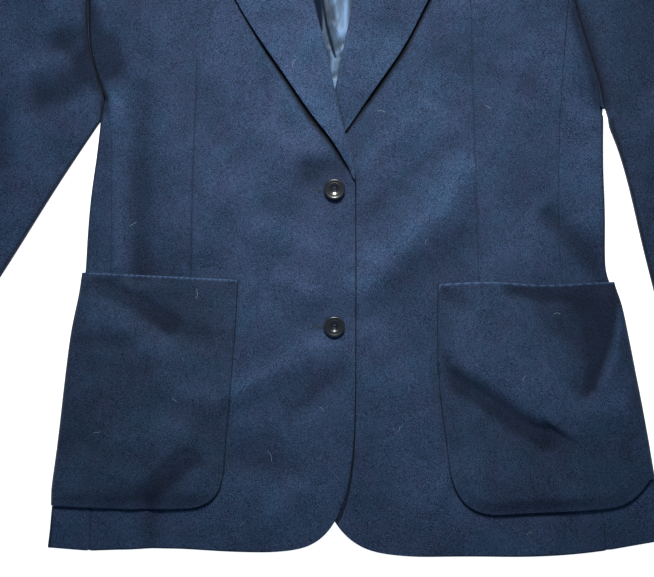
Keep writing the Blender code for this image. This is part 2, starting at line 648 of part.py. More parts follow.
GARMENT = bpy.data.objects.new("garment", None)
bpy.context.scene.collection.objects.link(GARMENT)

back("back_right", -1, RIGHT_ROWS, RIGHT_EDGE, RIGHT_UNDERARM, RIGHT_ARMHOLE)
back("back_left", 1, LEFT_ROWS, LEFT_EDGE, LEFT_UNDERARM, LEFT_ARMHOLE)
lining()
side_panel("side_right", -1, RIGHT_ROWS, RIGHT_EDGE, RIGHT_SIDE_SEAM, RIGHT_UNDERARM)
side_panel("side_left", 1, LEFT_ROWS, LEFT_EDGE, LEFT_SIDE_SEAM, LEFT_UNDERARM)
front("front_left", 1, LEFT_ROWS, LEFT_HEM, LEFT_SIDE_SEAM, LEFT_ARMHOLE, LEFT_ROLL, left_front_under)
front("front_right", -1, RIGHT_ROWS, RIGHT_HEM, RIGHT_SIDE_SEAM, RIGHT_ARMHOLE, RIGHT_ROLL,
      right_front_under)
lapel("lapel_left", 1, LEFT_LAPEL_EDGE, LEFT_ROLL, left_front_under)
lapel("lapel_right", -1, RIGHT_LAPEL_EDGE, RIGHT_ROLL, right_front_under)
collar()
pocket("pocket_right", -1, RIGHT_POCKET_INNER, RIGHT_POCKET_BOTTOM, RIGHT_POCKET_MOUTH, RIGHT_POCKET_SIDE,
       RIGHT_EDGE, right_front_under, RIGHT_POCKET_FOLDS)
pocket("pocket_left", 1, LEFT_POCKET_INNER, LEFT_POCKET_BOTTOM, LEFT_POCKET_MOUTH, LEFT_POCKET_SIDE,
       LEFT_EDGE, left_front_under, LEFT_POCKET_FOLDS)
right_plan = sleeve_plan(-1, RIGHT_SLEEVE_INNER, RIGHT_SLEEVE_OUTER, RIGHT_UNDERARM, RIGHT_ARMHOLE,
                         RIGHT_ROWS)
left_plan = sleeve_plan(1, LEFT_SLEEVE_INNER, LEFT_SLEEVE_OUTER, LEFT_UNDERARM, LEFT_ARMHOLE, LEFT_ROWS)
sleeve_upper("sleeve_upper_right", right_plan)
sleeve_under("sleeve_under_right", right_plan)
sleeve_upper("sleeve_upper_left", left_plan)
sleeve_under("sleeve_under_left", left_plan)
for button_name, spot in BUTTONS.items():
    button(button_name, spot)
centre_footprint()
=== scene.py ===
"""The looks of a women's navy wool blazer, laid flat and buttoned right over left.

Places on the garment are in millimetres in its own plane: X runs from the centre front to the wearer's
left, and Y from the lowest point of the hem to the collar. The frame gives where that plane's origin is.
Each piece of cloth is a finer copy of its plain solid. One height field lifts and creases every layer
above the back, so layers that lie on each other stay apart.
"""
import math
from typing import NamedTuple

import bmesh
import bpy
import numpy as np
from mathutils import Euler, Matrix, Vector
from mathutils.bvhtree import BVHTree
from mathutils.kdtree import KDTree


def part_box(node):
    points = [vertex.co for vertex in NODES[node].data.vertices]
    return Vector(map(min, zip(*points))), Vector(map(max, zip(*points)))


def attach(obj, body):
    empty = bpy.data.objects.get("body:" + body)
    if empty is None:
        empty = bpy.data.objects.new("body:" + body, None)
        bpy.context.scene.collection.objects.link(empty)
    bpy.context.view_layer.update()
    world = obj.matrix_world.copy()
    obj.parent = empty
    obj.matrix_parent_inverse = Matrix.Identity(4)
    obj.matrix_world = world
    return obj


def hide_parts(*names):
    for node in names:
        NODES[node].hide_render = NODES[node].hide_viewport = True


bl_info = {
    "name": "Navy blazer, laid flat",
    "version": (1, 0, 0),
    "blender": (4, 5, 0),
    "location": "3D View > Sidebar > Blazer",
    "description": "Dresses the plain solids of a flat wool blazer in cloth, satin, resin and thread",
    "category": "Object",
}

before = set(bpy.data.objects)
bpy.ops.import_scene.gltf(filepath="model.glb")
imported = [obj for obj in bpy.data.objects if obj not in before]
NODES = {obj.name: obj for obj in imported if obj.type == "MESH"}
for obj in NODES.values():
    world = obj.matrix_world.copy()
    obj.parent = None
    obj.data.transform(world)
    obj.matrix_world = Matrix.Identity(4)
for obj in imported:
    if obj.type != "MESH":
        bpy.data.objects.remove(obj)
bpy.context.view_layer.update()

# Sizes are in millimetres of the garment, unless a name or a comment says otherwise
MM = 0.001
CLOTH = 2.0                 # thickness of the wool in the solids
LINING = 1.0                # and of the satin

# The cloth's relief
DEEPEST = -1.6              # any lower, and a front would meet the back
HIGHEST = 8.0
LIFT_FROM = 1.5             # height of the solid where a layer starts to follow the relief
LIFT_TO = 4.3               # and where it follows it wholly
CREST = 6.0                 # height of the folds at which their painted light on ridges and painted shade in troughs are strongest
BUTTON_CALM = 26.0          # the cloth is held down this near a button
WAVES = ((170, 0.45), (120, 0.36), (84, 0.26), (58, 0.16), (40, 0.08))  # length and swing of each
WAVES_OF_A_LENGTH = 3
POCKET_HOLD = 16.0          # a pocket's own relief starts this far in from where it is sewn on
POCKET_FREE = 16.0          # its sides are sewn on up to this far below its mouth
MOUTH_BAND = 9.0            # height of the strip in which the rim of a pocket's mouth lies
LIT_AND_WORN_EDGE = 1.1             # width of the paler edge of that mouth: a painted highlight where its rim catches the light, and wear
LINING_MIDDLE = 0.7         # height of the satin's folds that is painted neither lighter nor darker
LINING_CREST = 8.0          # how much more than its height a fold of the satin is painted lighter on its ridge and darker beside it

# How a solid is read, and how lines are cut into its fine copy
MERGE = 0.01 * MM
FLAT_JOIN = math.radians(40)
SQUARE_JOIN = math.radians(75)
RIM_ANGLE = math.radians(52)
RIM_STEP = 3.0              # distance between the points of a rim's search tree
LINE_CUTS = (-1.3, -0.85, -0.4, 0.0, 0.4, 0.85, 1.3)    # where a line is cut, as shares of its reach
LINE_MARGIN = 0.6           # cuts go this far past a line
FACE_REACH = 25.0           # faces whose middle is further from a line than this aren't cut
CUT_SNAP = 0.02             # a point this near a cut is taken to lie on it

# Seam allowance: a thin strip just above the back
ALLOWANCE_HEIGHT = 2.3
ALLOWANCE_LOWEST = 2.2
ALLOWANCE_THICKNESS = 0.4

# Buttons
BUTTONS = ("button_upper", "button_lower")
BUTTON_OFFSET = 0.4         # from the centre front to the buttons' middle
BUTTON_RADIUS = 10.1
BUTTON_STEPS = 64
BUTTON_BEVEL = 0.28
BUTTON_SHARP = math.radians(45)
HOLES = 4
HOLE_RING = 2.1             # from the button's middle to the middle of a hole
HOLE_RADIUS = 0.95
DRILL_LENGTH = 12.0

# The stitches through a button's holes
STITCH_RADIUS = 0.24
STITCH_ROW = 1.49           # from the button's middle to each row of stitches
STRANDS = (-0.45, 0.0, 0.45)
STITCH_HALF = 0.85          # half the length that lies on top
STITCH_DIP_HALF = 1.55      # half the distance between the ends, down in the holes
STITCH_TOP = 2.4            # height of a row's middle strand over the button's underside
STITCH_ROUND = 0.25         # how much lower a strand lies for each millimetre from the middle one
STITCH_DIP = 0.6            # height of the ends

# Buttonholes
BUTTONHOLE_LENGTH = 25.0
BUTTONHOLE_START = -21.0    # its outer end, from the centre front
BUTTONHOLE_PITCH = 0.62
BUTTONHOLE_HALF = 1.5
BUTTONHOLE_SLIT = 0.3       # half the width of the slit
BUTTONHOLE_RAYS = 7         # stitches round its outer end
STITCH_LIFT = 0.12          # of the stitches' inner ends over the cloth
STITCH_FALL = 0.1           # from there to their outer ends
STITCH_SLANT = 0.1          # how far on their outer ends lie

# Small pieces
SMALL_SHARP = math.radians(50)      # past this angle their edges are sharp
ABOVE_ALL = 60.0            # a height over all the cloth, from which the top layer is looked for

# Lint
LINT_RADIUS = 0.13
LINT_BENDS = 7
LINT_CURL = 14              # degrees of turn at each bend, at most
LINT_LIFT = 0.15

# What the photograph takes in, in the garment's plane
VIEW_MIDDLE = (-6.7, 257.8)
VIEW_WIDTH = 627.8
VIEW_TOP = 8.0              # height of the cloth that the view is measured on
SENSOR = 36.0

FLOOR_HALF = 3.0            # metres from its middle to its sides
FLOOR_DROP = 0.3            # from the part's underside, so that the two don't lie in one plane

# The soft light beyond the collar, and what it points at
KEY_PLACE = (-8, 900, 640)
KEY_TARGET = (6, 270, 0)
KEY_SIZE = 0.32             # metres
KEY_COLOUR = (1.0, 0.985, 0.955)
KEY_SPREAD = math.radians(84)
SKY_COLOUR = (0.58, 0.87, 1.18, 1)
SKY_STRENGTH = 0.24


class Fold(NamedTuple):
    """A soft ridge, or a trough where its height is below 0."""

    path: tuple
    height: float
    width: float            # from its middle to where it fades
    power: float = 2.0      # 2 is rounded, and nearer to 1 is crisp
    left: float = 0.0       # width on the left of its heading, where that differs


class Line(NamedTuple):
    """A groove in the cloth, or the gap beside an edge that lies on it, with painted shade darkening the
    colour along it.
    """

    path: tuple
    reach: tuple            # from its middle to where it ends, at each point of the path
    depth: float
    # painted shade: how dark the colour along the line is painted
    dark: float


class Nudge(NamedTuple):
    """A soft push of the cloth in its own plane."""

    middle: tuple
    reach: float
    push: tuple


class Panel(NamedTuple):
    """How one piece of cloth was cut, how it lies, and how its yarns run."""

    cut: tuple              # width and length before it was sewn
    lies_on: tuple = ()
    held: str = "laid"
    levels: int = 3         # times that its solid's faces are divided
    turn: float = 0.0       # heading of its warp, in radians
    tone: float = 1.0       # painted light and shade: how much lighter or darker the whole panel is painted, for how the light falls on it


class Lift(NamedTuple):
    """How far cloth is lifted at each spot, and the part of that which the materials paint lighter on ridges
    and darker in troughs.
    """

    height: np.ndarray
    crest: np.ndarray


def even(path, reach, depth, dark):
    """A line with the same reach all along."""
    return Line(path, (reach,) * len(path), depth, dark)


# Folds of the fronts, which every layer above the back follows
BODY_FOLDS = [
    Fold(((-184, 446), (-186, 400), (-188, 272)), -4.2, 12),
    Fold(((-212, 430), (-209, 360), (-206, 282)), 2.6, 10),
    Fold(((-152, 470), (-150, 320)), 1.4, 14),
    Fold(((-120, 500), (-100, 430)), 1.0, 20),
    Fold(((-92, 408), (-48, 398), (-12, 384)), 2.0, 14),
    Fold(((-26, 371), (-8, 373), (8, 369)), -4.6, 9),
    Fold(((-32, 356), (-17, 361)), -2.4, 8),
    Fold(((-30, 226), (-15, 232)), -1.8, 8),
    Fold(((-60, 336), (-38, 333)), -2.2, 12),
    Fold(((-84, 314), (-44, 306), (-8, 290)), 1.6, 13),
    Fold(((-50, 268), (-16, 250)), 2.8, 9),
    Fold(((-150, 284), (-110, 279)), -1.5, 10),
    Fold(((-4, 210), (-40, 188), (-92, 158)), 3.6, 12),
    Fold(((8, 176), (-24, 152), (-44, 132)), -2.8, 9),
    Fold(((-40, 132), (-84, 128)), 1.6, 11),
    Fold(((-92, 92), (-40, 88)), -1.6, 12),
    Fold(((131, 368), (96, 328), (60, 292), (24, 256)), 4.8, 18, 2.0, 15),
    Fold(((130, 300), (86, 276), (50, 244)), -2.2, 20),
    Fold(((110, 396), (70, 362), (28, 324)), -1.8, 10),
    Fold(((88, 430), (52, 398), (22, 372)), 2.0, 11),
    Fold(((170, 430), (156, 380)), 1.2, 18),
    Fold(((206, 326), (236, 298), (258, 266)), -4.4, 11),
    Fold(((196, 330), (190, 286)), 1.6, 13),
    Fold(((250, 424), (246, 320)), 3.0, 20),
    Fold(((-120, 62), (-60, 50), (0, 70)), 1.2, 20),
    Fold(((60, 110), (80, 40)), 1.2, 17),
    Fold(((38, 210), (60, 150)), 1.0, 16),
    Fold(((-177, 48), (-175, 4)), -3.0, 9),
    Fold(((-140, 490), (-150, 400), (-160, 276)), -1.8, 24),
    Fold(((-196, 40), (-198, 6)), 1.4, 8),
    Fold(((-64, 516), (-34, 514)), -1.8, 11),
    Fold(((-60, 486), (-40, 440), (-24, 410)), 1.6, 14),
    Fold(((44, 508), (64, 504)), -1.3, 10),
    Fold(((60, 486), (80, 500)), 0.8, 10),
]

# Puckers at each armhole, and where sleeve and side meet
ARMHOLE_FOLDS = [
    Fold(((-220, 486), (-214, 468)), -6.0, 13),
    Fold(((-238, 560), (-235, 505), (-227, 455), (-222, 428)), -4.6, 7),
    Fold(((227, 552), (236, 516), (250, 466), (258, 432)), -3.6, 6),
    Fold(((-218, 444), (-206, 432)), 1.5, 10),
    Fold(((-284, 440), (-258, 450), (-236, 466)), -5.4, 16),
    Fold(((-262, 486), (-244, 478)), -3.4, 14),
    Fold(((-272, 494), (-240, 502)), -3.0, 9),
    Fold(((-300, 466), (-262, 476)), 2.0, 8),
    Fold(((-276, 416), (-244, 432)), 1.6, 8),
    Fold(((-234, 520), (-226, 494)), -2.6, 8),
    Fold(((236, 520), (252, 470), (258, 436)), -2.4, 8),
    Fold(((262, 500), (282, 460)), 1.8, 11),
    Fold(((236, 450), (250, 434)), -1.8, 9),
    Fold(((-240, 560), (-228, 620)), -2.0, 9),
    Fold(((230, 560), (228, 620)), -2.0, 9),
]

SLEEVE_FOLDS = [
    Fold(((-392, 420), (-352, 372), (-336, 318)), -3.0, 12),
    Fold(((-430, 372), (-392, 340), (-362, 262)), 3.0, 15),
    Fold(((-452, 330), (-420, 268), (-384, 236)), -2.8, 11),
    Fold(((-478, 300), (-450, 240), (-420, 190)), 2.2, 16),
    Fold(((-330, 520), (-300, 460), (-292, 410)), 1.8, 15),
    Fold(((-362, 500), (-330, 430), (-318, 380)), -2.4, 12),
    Fold(((-300, 590), (-268, 540)), 1.8, 15),
    Fold(((-540, 180), (-500, 120)), -2.0, 12),
    Fold(((-500, 200), (-470, 110)), 1.8, 15),
    Fold(((436, 400), (390, 366), (318, 360)), -3.0, 11),
    Fold(((446, 350), (400, 318), (330, 306)), 3.0, 15),
    Fold(((458, 310), (410, 272), (336, 262)), -2.6, 11),
    Fold(((466, 250), (420, 222), (350, 214)), 2.2, 15),
    Fold(((380, 520), (330, 470), (300, 410)), 2.2, 17),
    Fold(((404, 480), (350, 428), (312, 400)), -2.4, 12),
    Fold(((300, 596), (276, 540)), 1.8, 15),
    Fold(((478, 150), (400, 110)), -2.0, 12),
    Fold(((470, 100), (400, 70)), 1.6, 14),
]

# What each pocket's own cloth does over the front. Its base is how far it stands off.
POCKET_BASE = {"pocket_right": 2.8, "pocket_left": 3.4}
POCKET_FOLDS = {
    "pocket_right": [
        Fold(((-222, 257), (-190, 243), (-158, 222)), -4.4, 10),
        Fold(((-158, 222), (-126, 210)), -2.0, 10),
        Fold(((-196, 262), (-150, 258)), 1.6, 7),
        Fold(((-246, 206), (-196, 204)), -1.8, 10),
        Fold(((-200, 214), (-150, 188)), 1.8, 13),
        Fold(((-240, 186), (-190, 170)), -1.0, 13),
        Fold(((-166, 168), (-114, 146)), 2.6, 13),
        Fold(((-228, 146), (-188, 116)), -1.0, 14),
        Fold(((-176, 56), (-164, 72), (-140, 92)), -5.6, 11),
        Fold(((-250, 70), (-204, 76)), 1.6, 20),
        Fold(((-206, 112), (-158, 118)), 1.8, 14),
        Fold(((-240, 96), (-196, 74)), 1.2, 12),
    ],
    "pocket_left": [
        Fold(((116, 186), (150, 168), (196, 136)), 4.8, 14, 2.0, 40),
        Fold(((108, 174), (150, 147), (180, 125), (200, 116)), -6.2, 12),
        Fold(((198, 114), (222, 104)), -1.8, 10),
        Fold(((262, 140), (276, 152), (292, 182)), 2.6, 15),
        Fold(((268, 246), (259, 206), (246, 164)), -10.0, 14, 1.8, 7),
        Fold(((280, 236), (270, 200), (258, 166)), 2.4, 7),
        Fold(((170, 257), (205, 252), (262, 254)), -7.4, 8, 1.6),
        Fold(((200, 236), (232, 196)), -2.2, 13),
        Fold(((236, 238), (248, 212)), -4.0, 14),
        Fold(((106, 250), (126, 240)), -2.0, 9),
        Fold(((206, 98), (250, 70)), -1.2, 17),
        Fold(((258, 116), (292, 92)), -1.0, 13),
        Fold(((130, 62), (220, 58)), 1.4, 18),
        Fold(((130, 92), (170, 78)), 1.4, 15),
    ],
}

# The lapels' outer edges stand a little off the fronts
LAPEL_FOLDS = {
    "lapel_right": [
        Fold(((2, 398), (-38, 450), (-66, 492)), 2.4, 13),
        Fold(((-66, 492), (-96, 540), (-112, 566)), 1.2, 12),
    ],
    "lapel_left": [
        Fold(((38, 446), (66, 490), (92, 538)), 2.2, 13),
        Fold(((92, 538), (106, 566)), 1.0, 12),
    ],
}

LINING_FOLDS = [
    Fold(((-8, 640), (-2, 560), (5, 500)), 1.5, 3.4, 1.6),
    Fold(((7, 640), (12, 560), (11, 505)), 1.7, 3.2, 1.6),
    Fold(((-22, 640), (-17, 570)), 1.3, 4.0, 1.6),
    Fold(((24, 630), (17, 560)), 1.2, 3.6, 1.6),
    Fold(((-1, 512), (7, 500)), 1.0, 2.2, 1.5),
    Fold(((-4, 488), (0, 476), (-1, 466)), 2.0, 2.2, 1.5),
    Fold(((9, 488), (3, 482)), 2.2, 2.0, 1.5),
    Fold(((5, 478), (2, 468)), 1.4, 1.6, 1.5),
    Fold(((1, 458), (1.6, 450)), 2.0, 2.4, 1.5),
]

# Outer edges of the lapels, pockets and right front, and the seams round the armholes
LAPEL_EDGES = {
    "right": ((20.6, 358), (19.6, 364), (17.4, 368.5), (14, 373), (8.4, 383), (-3.3, 402), (-21.6, 423.6),
              (-37.8, 447.8), (-64, 486.2), (-80.3, 510.4), (-94.4, 534.7), (-109, 562)),
    "left": ((11.5, 408.5), (26.8, 431.7), (47, 459.9), (65.2, 486.2), (77.3, 508.4), (90.4, 534.7),
             (104, 562)),
}
POCKET_EDGES = {
    "right": ((-92.4, 266), (-95.4, 215.4), (-98.4, 179), (-100.8, 145), (-104, 114), (-106, 80), (-110, 62),
              (-119, 51.5), (-133, 47.3), (-169, 46), (-212, 46.8), (-270, 47.7)),
    "left": ((100.5, 262), (99.6, 215.4), (100.5, 179), (103.5, 144.7), (108.5, 108.5), (111.6, 80),
             (116, 63), (126, 49), (138, 42.7), (152, 40), (182.4, 42.2), (222.7, 43.7), (269.2, 47.7),
             (287, 54), (301, 69)),
}
FRONT_EDGE = ((12.5, 376.3), (17, 371), (19.6, 366), (20.5, 357), (20.5, 160), (20.1, 128),
              (19.2, 104), (17.2, 82), (14.5, 64), (10.8, 50), (6, 38), (0.4, 28.8), (-6, 21))
ROLL_OVER_LAPEL = ((-4.6, 478), (0, 458), (4.6, 434), (10, 412))
# Each seam's colour is painted dark along it, as the shade in its hollow
ARMHOLE_SEAMS = {
    "right": Line(((-224, 418), (-221.5, 429), (-219, 440), (-226.6, 458), (-234.5, 487), (-236.2, 510),
                   (-236.2, 540), (-235, 575)),
                  (1.6, 3.0, 3.2, 1.6, 1.5, 2.2, 2.8, 2.2), 0.6, 0.9),
    "left": Line(((258, 436), (256.3, 450), (245.5, 484), (234.4, 520), (226, 560)),
                 (1.6, 2.4, 2.6, 2.4, 1.8), 0.6, 0.88),
}

# The outline that the photograph shows, where the cloth turns under and its colour is painted dark as shade
TURNED_EDGES = {
    "side_right": (((-272, 9), (-270.5, 45)),
                   ((-238.5, 281), (-237.6, 304), (-234.3, 343), (-229, 381), (-224.5, 418))),
    "side_left": (((260.2, 281), (259.3, 335), (258, 375), (258, 424)),),
    "pocket_right": (((-273, 52), (-269.4, 79), (-264.5, 120), (-259.2, 160), (-252.4, 214), (-247.2, 240),
                      (-242.2, 266)),),
    "pocket_left": (((304.9, 93), (300.5, 120), (292.7, 160), (287.6, 187), (282.2, 214), (276.5, 240),
                     (271.8, 254)),),
    "front_right": (((-62, 4.6), (-83, 4.6), (-108.5, 5.7), (-145, 7.9), (-165, 8.4), (-199.7, 7.2),
                     (-234, 6.2)),),
    "front_left": (((80, 0), (104, 0.2), (131.5, 0.6), (172.2, 0.3), (204, 1.0), (232.8, 2.7), (262, 6.2)),),
    "sleeve_upper_right": (((-226, 414), (-267.5, 354), (-316, 276), (-366.5, 200), (-413, 130),
                            (-455, 66)),),
    "sleeve_upper_left": (((265, 420), (273.6, 393), (285.6, 349), (296.5, 300), (307.5, 256), (332, 158),
                           (363, 36)),),
}
TURNED_REACH = 1.7          # how far in from there the shade reaches, but for the sleeves
SLEEVE_REACH = {"sleeve_upper_right": 3.2, "sleeve_upper_left": 2.6}
# how dark the painted shade along such an outline is
TURNED_DARK = 0.55

# Darts, gaps beside lapels, pockets and front edge, and the tucks down the middle of the lining, each with
# painted shade darkening the colour along it
LINES = {
    "front_right": [
        even(((-131.7, 477), (-134.2, 400), (-136.6, 330), (-137.8, 262)), 0.8, 0.7, 0.34),
        Line(LAPEL_EDGES["right"], (0.4, 0.8, 1.3, 2.2, 4.0, 6.0, 6.4, 5.0, 3.2, 1.8, 1.2, 1.0), 0.8, 0.97),
        ARMHOLE_SEAMS["right"],
        Line(POCKET_EDGES["right"][:11], (0.9,) * 6 + (0.7, 0.5) + (0.3,) * 3, 0.3, 0.70),
    ],
    "front_left": [
        even(((131, 560), (131.5, 535), (135.0, 400), (137.6, 320), (138.8, 250)), 0.8, 0.6, 0.28),
        Line(LAPEL_EDGES["left"], (2.4, 4.6, 5.4, 5.0, 4.2, 3.6, 3.0), 0.8, 0.97),
        ARMHOLE_SEAMS["left"],
        Line(POCKET_EDGES["left"][:12], (0.9,) * 6 + (0.7, 0.5) + (0.3,) * 4, 0.3, 0.64),
        Line(FRONT_EDGE, (2.4, 1.9, 1.5, 1.1) + (1.0,) * 6 + (1.1, 1.3, 1.6), 0.3, 0.92),
    ],
    "sleeve_upper_right": [ARMHOLE_SEAMS["right"]],
    "sleeve_upper_left": [ARMHOLE_SEAMS["left"]],
    "side_right": [even(POCKET_EDGES["right"][10:], 0.3, 0.3, 0.6)],
    "side_left": [even(POCKET_EDGES["left"][11:], 0.3, 0.3, 0.6)],
    "lapel_left": [even(ROLL_OVER_LAPEL, 0.9, 0.3, 0.45)],
    "lining_back": [
        Line(((-24, 572), (-18, 545), (-14.8, 530), (-13.6, 518), (-12, 506)),
             (7.0, 6.0, 4.8, 3.2, 1.0), 0.9, 0.98),
        Line(((-12, 545), (-10.6, 532), (-6.7, 509), (-2.9, 494), (1.2, 480)),
             (0.8, 1.1, 1.4, 1.5, 1.0), 0.9, 0.97),
    ],
}

# Small pushes that bring outlines to where the photograph has them
NUDGES = {
    "lapel_right": [Nudge((20.5, 367), 3.4, (0.3, -5.5))],
    "pocket_right": [Nudge((-274, 48), 12, (2.2, 0))],
    "side_right": [Nudge((-274, 6), 16, (-1.4, 0.6))],
    "side_left": [Nudge((307, 70), 13, (2.6, 0))],
    "pocket_left": [Nudge((266, 268), 9, (2.6, 0))],
    "sleeve_upper_left": [Nudge((259, 425), 9, (3.6, 0))],
    "sleeve_under_left": [Nudge((259, 425), 9, (3.6, 0))],
}

# Strips of seam allowance that show under a seam: half their width and their path
ALLOWANCES = {
    "hem_right": (4.0, ((-234.8, 6.0), (-234.8, 26), (-234.8, 44))),
    "hem_left": (4.0, ((262.2, 5.9), (260.9, 16), (260.4, 42))),
    "underarm_left": (3.3, ((255.2, 417), (255.2, 425), (255.6, 433))),
    "right": (5.0, ((-222.4, 417), *ARMHOLE_SEAMS["right"].path[1:], (-230, 610), (-223, 636))),
    "left": (5.0, ((258.8, 430.5), *ARMHOLE_SEAMS["left"].path[1:4], (227, 545), (225.5, 575),
                   (225, 610), (223, 636))),
}

# The pieces of cloth, each with the cut of what shows: its widest row and longest column, round its folds
PANELS = {
    "back_right": Panel((248, 654), levels=2),
    "back_left": Panel((272, 651), levels=2),
    "side_right": Panel((85, 433), ("back_right",), "folded"),
    "side_left": Panel((135, 541), ("back_left",), "folded"),
    "front_right": Panel((260, 690), ("back_right", "front_left")),
    "front_left": Panel((283, 690), ("back_left",)),
    "lapel_right": Panel((96, 245), ("front_right",), "folded", turn=0.35, tone=1.20),
    "lapel_left": Panel((91, 245), ("front_left",), "folded", turn=-0.35, tone=1.06),
    "collar": Panel((91, 400), ("front_right", "front_left"), "folded", turn=1.2),
    "pocket_right": Panel((166, 233), ("front_right", "side_right"), "folded", tone=0.78),
    "pocket_left": Panel((201, 245), ("front_left", "side_left"), "folded", tone=0.88),
    "sleeve_upper_right": Panel((285, 625), ("sleeve_under_right",), "folded", turn=-0.60, tone=0.98),
    "sleeve_upper_left": Panel((289, 678), ("sleeve_under_left",), "folded", turn=0.26, tone=0.78),
    "sleeve_under_right": Panel((186, 598), levels=2, turn=-0.60, tone=0.98),
    "sleeve_under_left": Panel((185, 648), levels=2, turn=0.26, tone=0.78),
    "lining_back": Panel((140, 238), ("back_right", "back_left"), levels=4),
}

# Lint on the cloth: place, length and heading in degrees
LINT = [
    ((-132, 248), 10, 62), ((-60, 92), 11, 84), ((-196, 318), 7, 30), ((42, 428), 7, 12),
    ((88, 300), 6, 110), ((-40, 470), 8, 75), ((-150, 150), 6, 150), ((180, 170), 6, 95),
    ((210, 233), 7, 40), ((60, 120), 7, 20), ((150, 430), 6, 130), ((-90, 30), 6, 60),
    ((-230, 120), 7, 10), ((190, 24), 6, 170), ((-10, 140), 6, 100),
]


# What the settings for colours share, and those for small lengths
COLOUR = {"subtype": "COLOR", "size": 3, "min": 0, "max": 1}
LENGTH = {"unit": "LENGTH", "precision": 5}


class ClothSettings(bpy.types.PropertyGroup):
    """Sizes and colours of the cloth."""

    wool_dark: bpy.props.FloatVectorProperty(
        name="Wool, dark yarn", description="The darker of the yarns that make up the wool",
        **COLOUR, default=(0.0025, 0.0080, 0.0240))
    wool_light: bpy.props.FloatVectorProperty(
        name="Wool, light yarn", description="The lighter of the yarns that make up the wool",
        **COLOUR, default=(0.0336, 0.0618, 0.1265))
    satin: bpy.props.FloatVectorProperty(
        name="Satin", description="The lining's colour",
        **COLOUR, default=(0.042, 0.069, 0.112))
    twill_pitch: bpy.props.FloatProperty(
        name="Twill pitch", description="Distance between the weave's slanting ribs",
        **LENGTH, min=0.0002, default=0.0011)
    fleck: bpy.props.FloatProperty(
        name="Fleck", description="Size of the light and dark flecks of yarn",
        **LENGTH, min=0.0002, default=0.0007)
    loft: bpy.props.FloatProperty(
        name="Loft", description="How far the fronts stand off the back",
        **LENGTH, min=0, default=0.0028)
    crease_share: bpy.props.FloatProperty(
        name="Creases", description="Height of the folds, as a share of the photograph's",
        subtype="FACTOR", min=0, max=1.2, default=1.0)
    edge_sharpness: bpy.props.FloatProperty(
        name="Edge sharpness", description="How crisp the edges of the panels are",
        subtype="FACTOR", min=0, max=1, default=0.55)


class ButtonSettings(bpy.types.PropertyGroup):
    """Sizes and colours of the buttons and their thread."""

    resin_dark: bpy.props.FloatVectorProperty(
        name="Resin", description="Main colour of the buttons",
        **COLOUR, default=(0.004, 0.004, 0.006))
    resin_light: bpy.props.FloatVectorProperty(
        name="Resin streaks", description="Colour of the light streaks in the buttons",
        **COLOUR, default=(0.024, 0.018, 0.022))
    thread: bpy.props.FloatVectorProperty(
        name="Thread", description="Colour of the sewing thread",
        **COLOUR, default=(0.015, 0.026, 0.048))
    thread_width: bpy.props.FloatProperty(
        name="Thread width", description="Diameter of the buttonhole thread",
        **LENGTH, min=0.0001, default=0.0005)


class StageSettings(bpy.types.PropertyGroup):
    """Floor, light and camera."""

    camera_height: bpy.props.FloatProperty(
        name="Camera height", description="Height of the camera above the floor",
        unit="LENGTH", min=0.3, default=1.6)
    floor: bpy.props.FloatVectorProperty(
        name="Floor", description="The floor's colour",
        **COLOUR, default=(0.86, 0.86, 0.87))
    key_power: bpy.props.FloatProperty(
        name="Key light", description="Power of the soft light over the collar",
        unit="POWER", min=0, default=3.05)


def base_of(node):
    """The middle of a node's underside, in the frame's metres."""
    low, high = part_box(node)
    return Vector(((low.x + high.x) / 2, (low.y + high.y) / 2, low.z))


def garment_origin():
    """Where the garment's plane has its origin: on the centre front, at the lowest point of the hem."""
    centre = base_of("button_upper").x - BUTTON_OFFSET * MM
    return Vector((centre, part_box("front_left")[0].y, 0))


ORIGIN = garment_origin()


def place(x, y, z=0.0):
    """A point of the garment, in the frame's metres."""
    return ORIGIN + Vector((x, y, z)) * MM


def ease(value):
    """A soft step from 0 to 1, for numbers and arrays."""
    value = np.clip(value, 0, 1)
    return value * value * (3 - 2 * value)


def nearest_on(path, spots):
    """For each spot its distance to a path, how far along that is in path points, and if it lies left."""
    nearest = np.full(len(spots), np.inf)
    along = np.zeros(len(spots))
    left = np.zeros(len(spots), bool)
    for number, (start, end) in enumerate(zip(path, path[1:])):
        start, step = np.array(start, float), np.subtract(end, start)
        offset = spots - start
        share = np.clip(offset @ step / (step @ step), 0, 1)
        away = np.linalg.norm(offset - share[:, None] * step, axis=1)
        nearer = away < nearest
        along = np.where(nearer, number + share, along)
        left = np.where(nearer, step[0] * offset[:, 1] > step[1] * offset[:, 0], left)
        nearest = np.minimum(nearest, away)
    return nearest, along, left


def fold_height(spots, folds):
    """How far the folds together lift each spot."""
    height = np.zeros(len(spots))
    for fold in folds:
        away, _, left = nearest_on(fold.path, spots)
        width = np.where(left, fold.left or fold.width, fold.width)
        height += fold.height * np.exp(-(away / width) ** fold.power)
    return height


def undulation(spots):
    """The slow unevenness of cloth that nobody has pressed since it was laid down."""
    draw = np.random.default_rng(11)
    height = np.zeros(len(spots))
    for wavelength, swing in WAVES:
        for _ in range(WAVES_OF_A_LENGTH):
            heading, start = draw.uniform(0, math.tau, 2)
            across = spots @ np.array((math.cos(heading), math.sin(heading)))
            height += swing * np.sin(across * math.tau / wavelength + start)
    return height


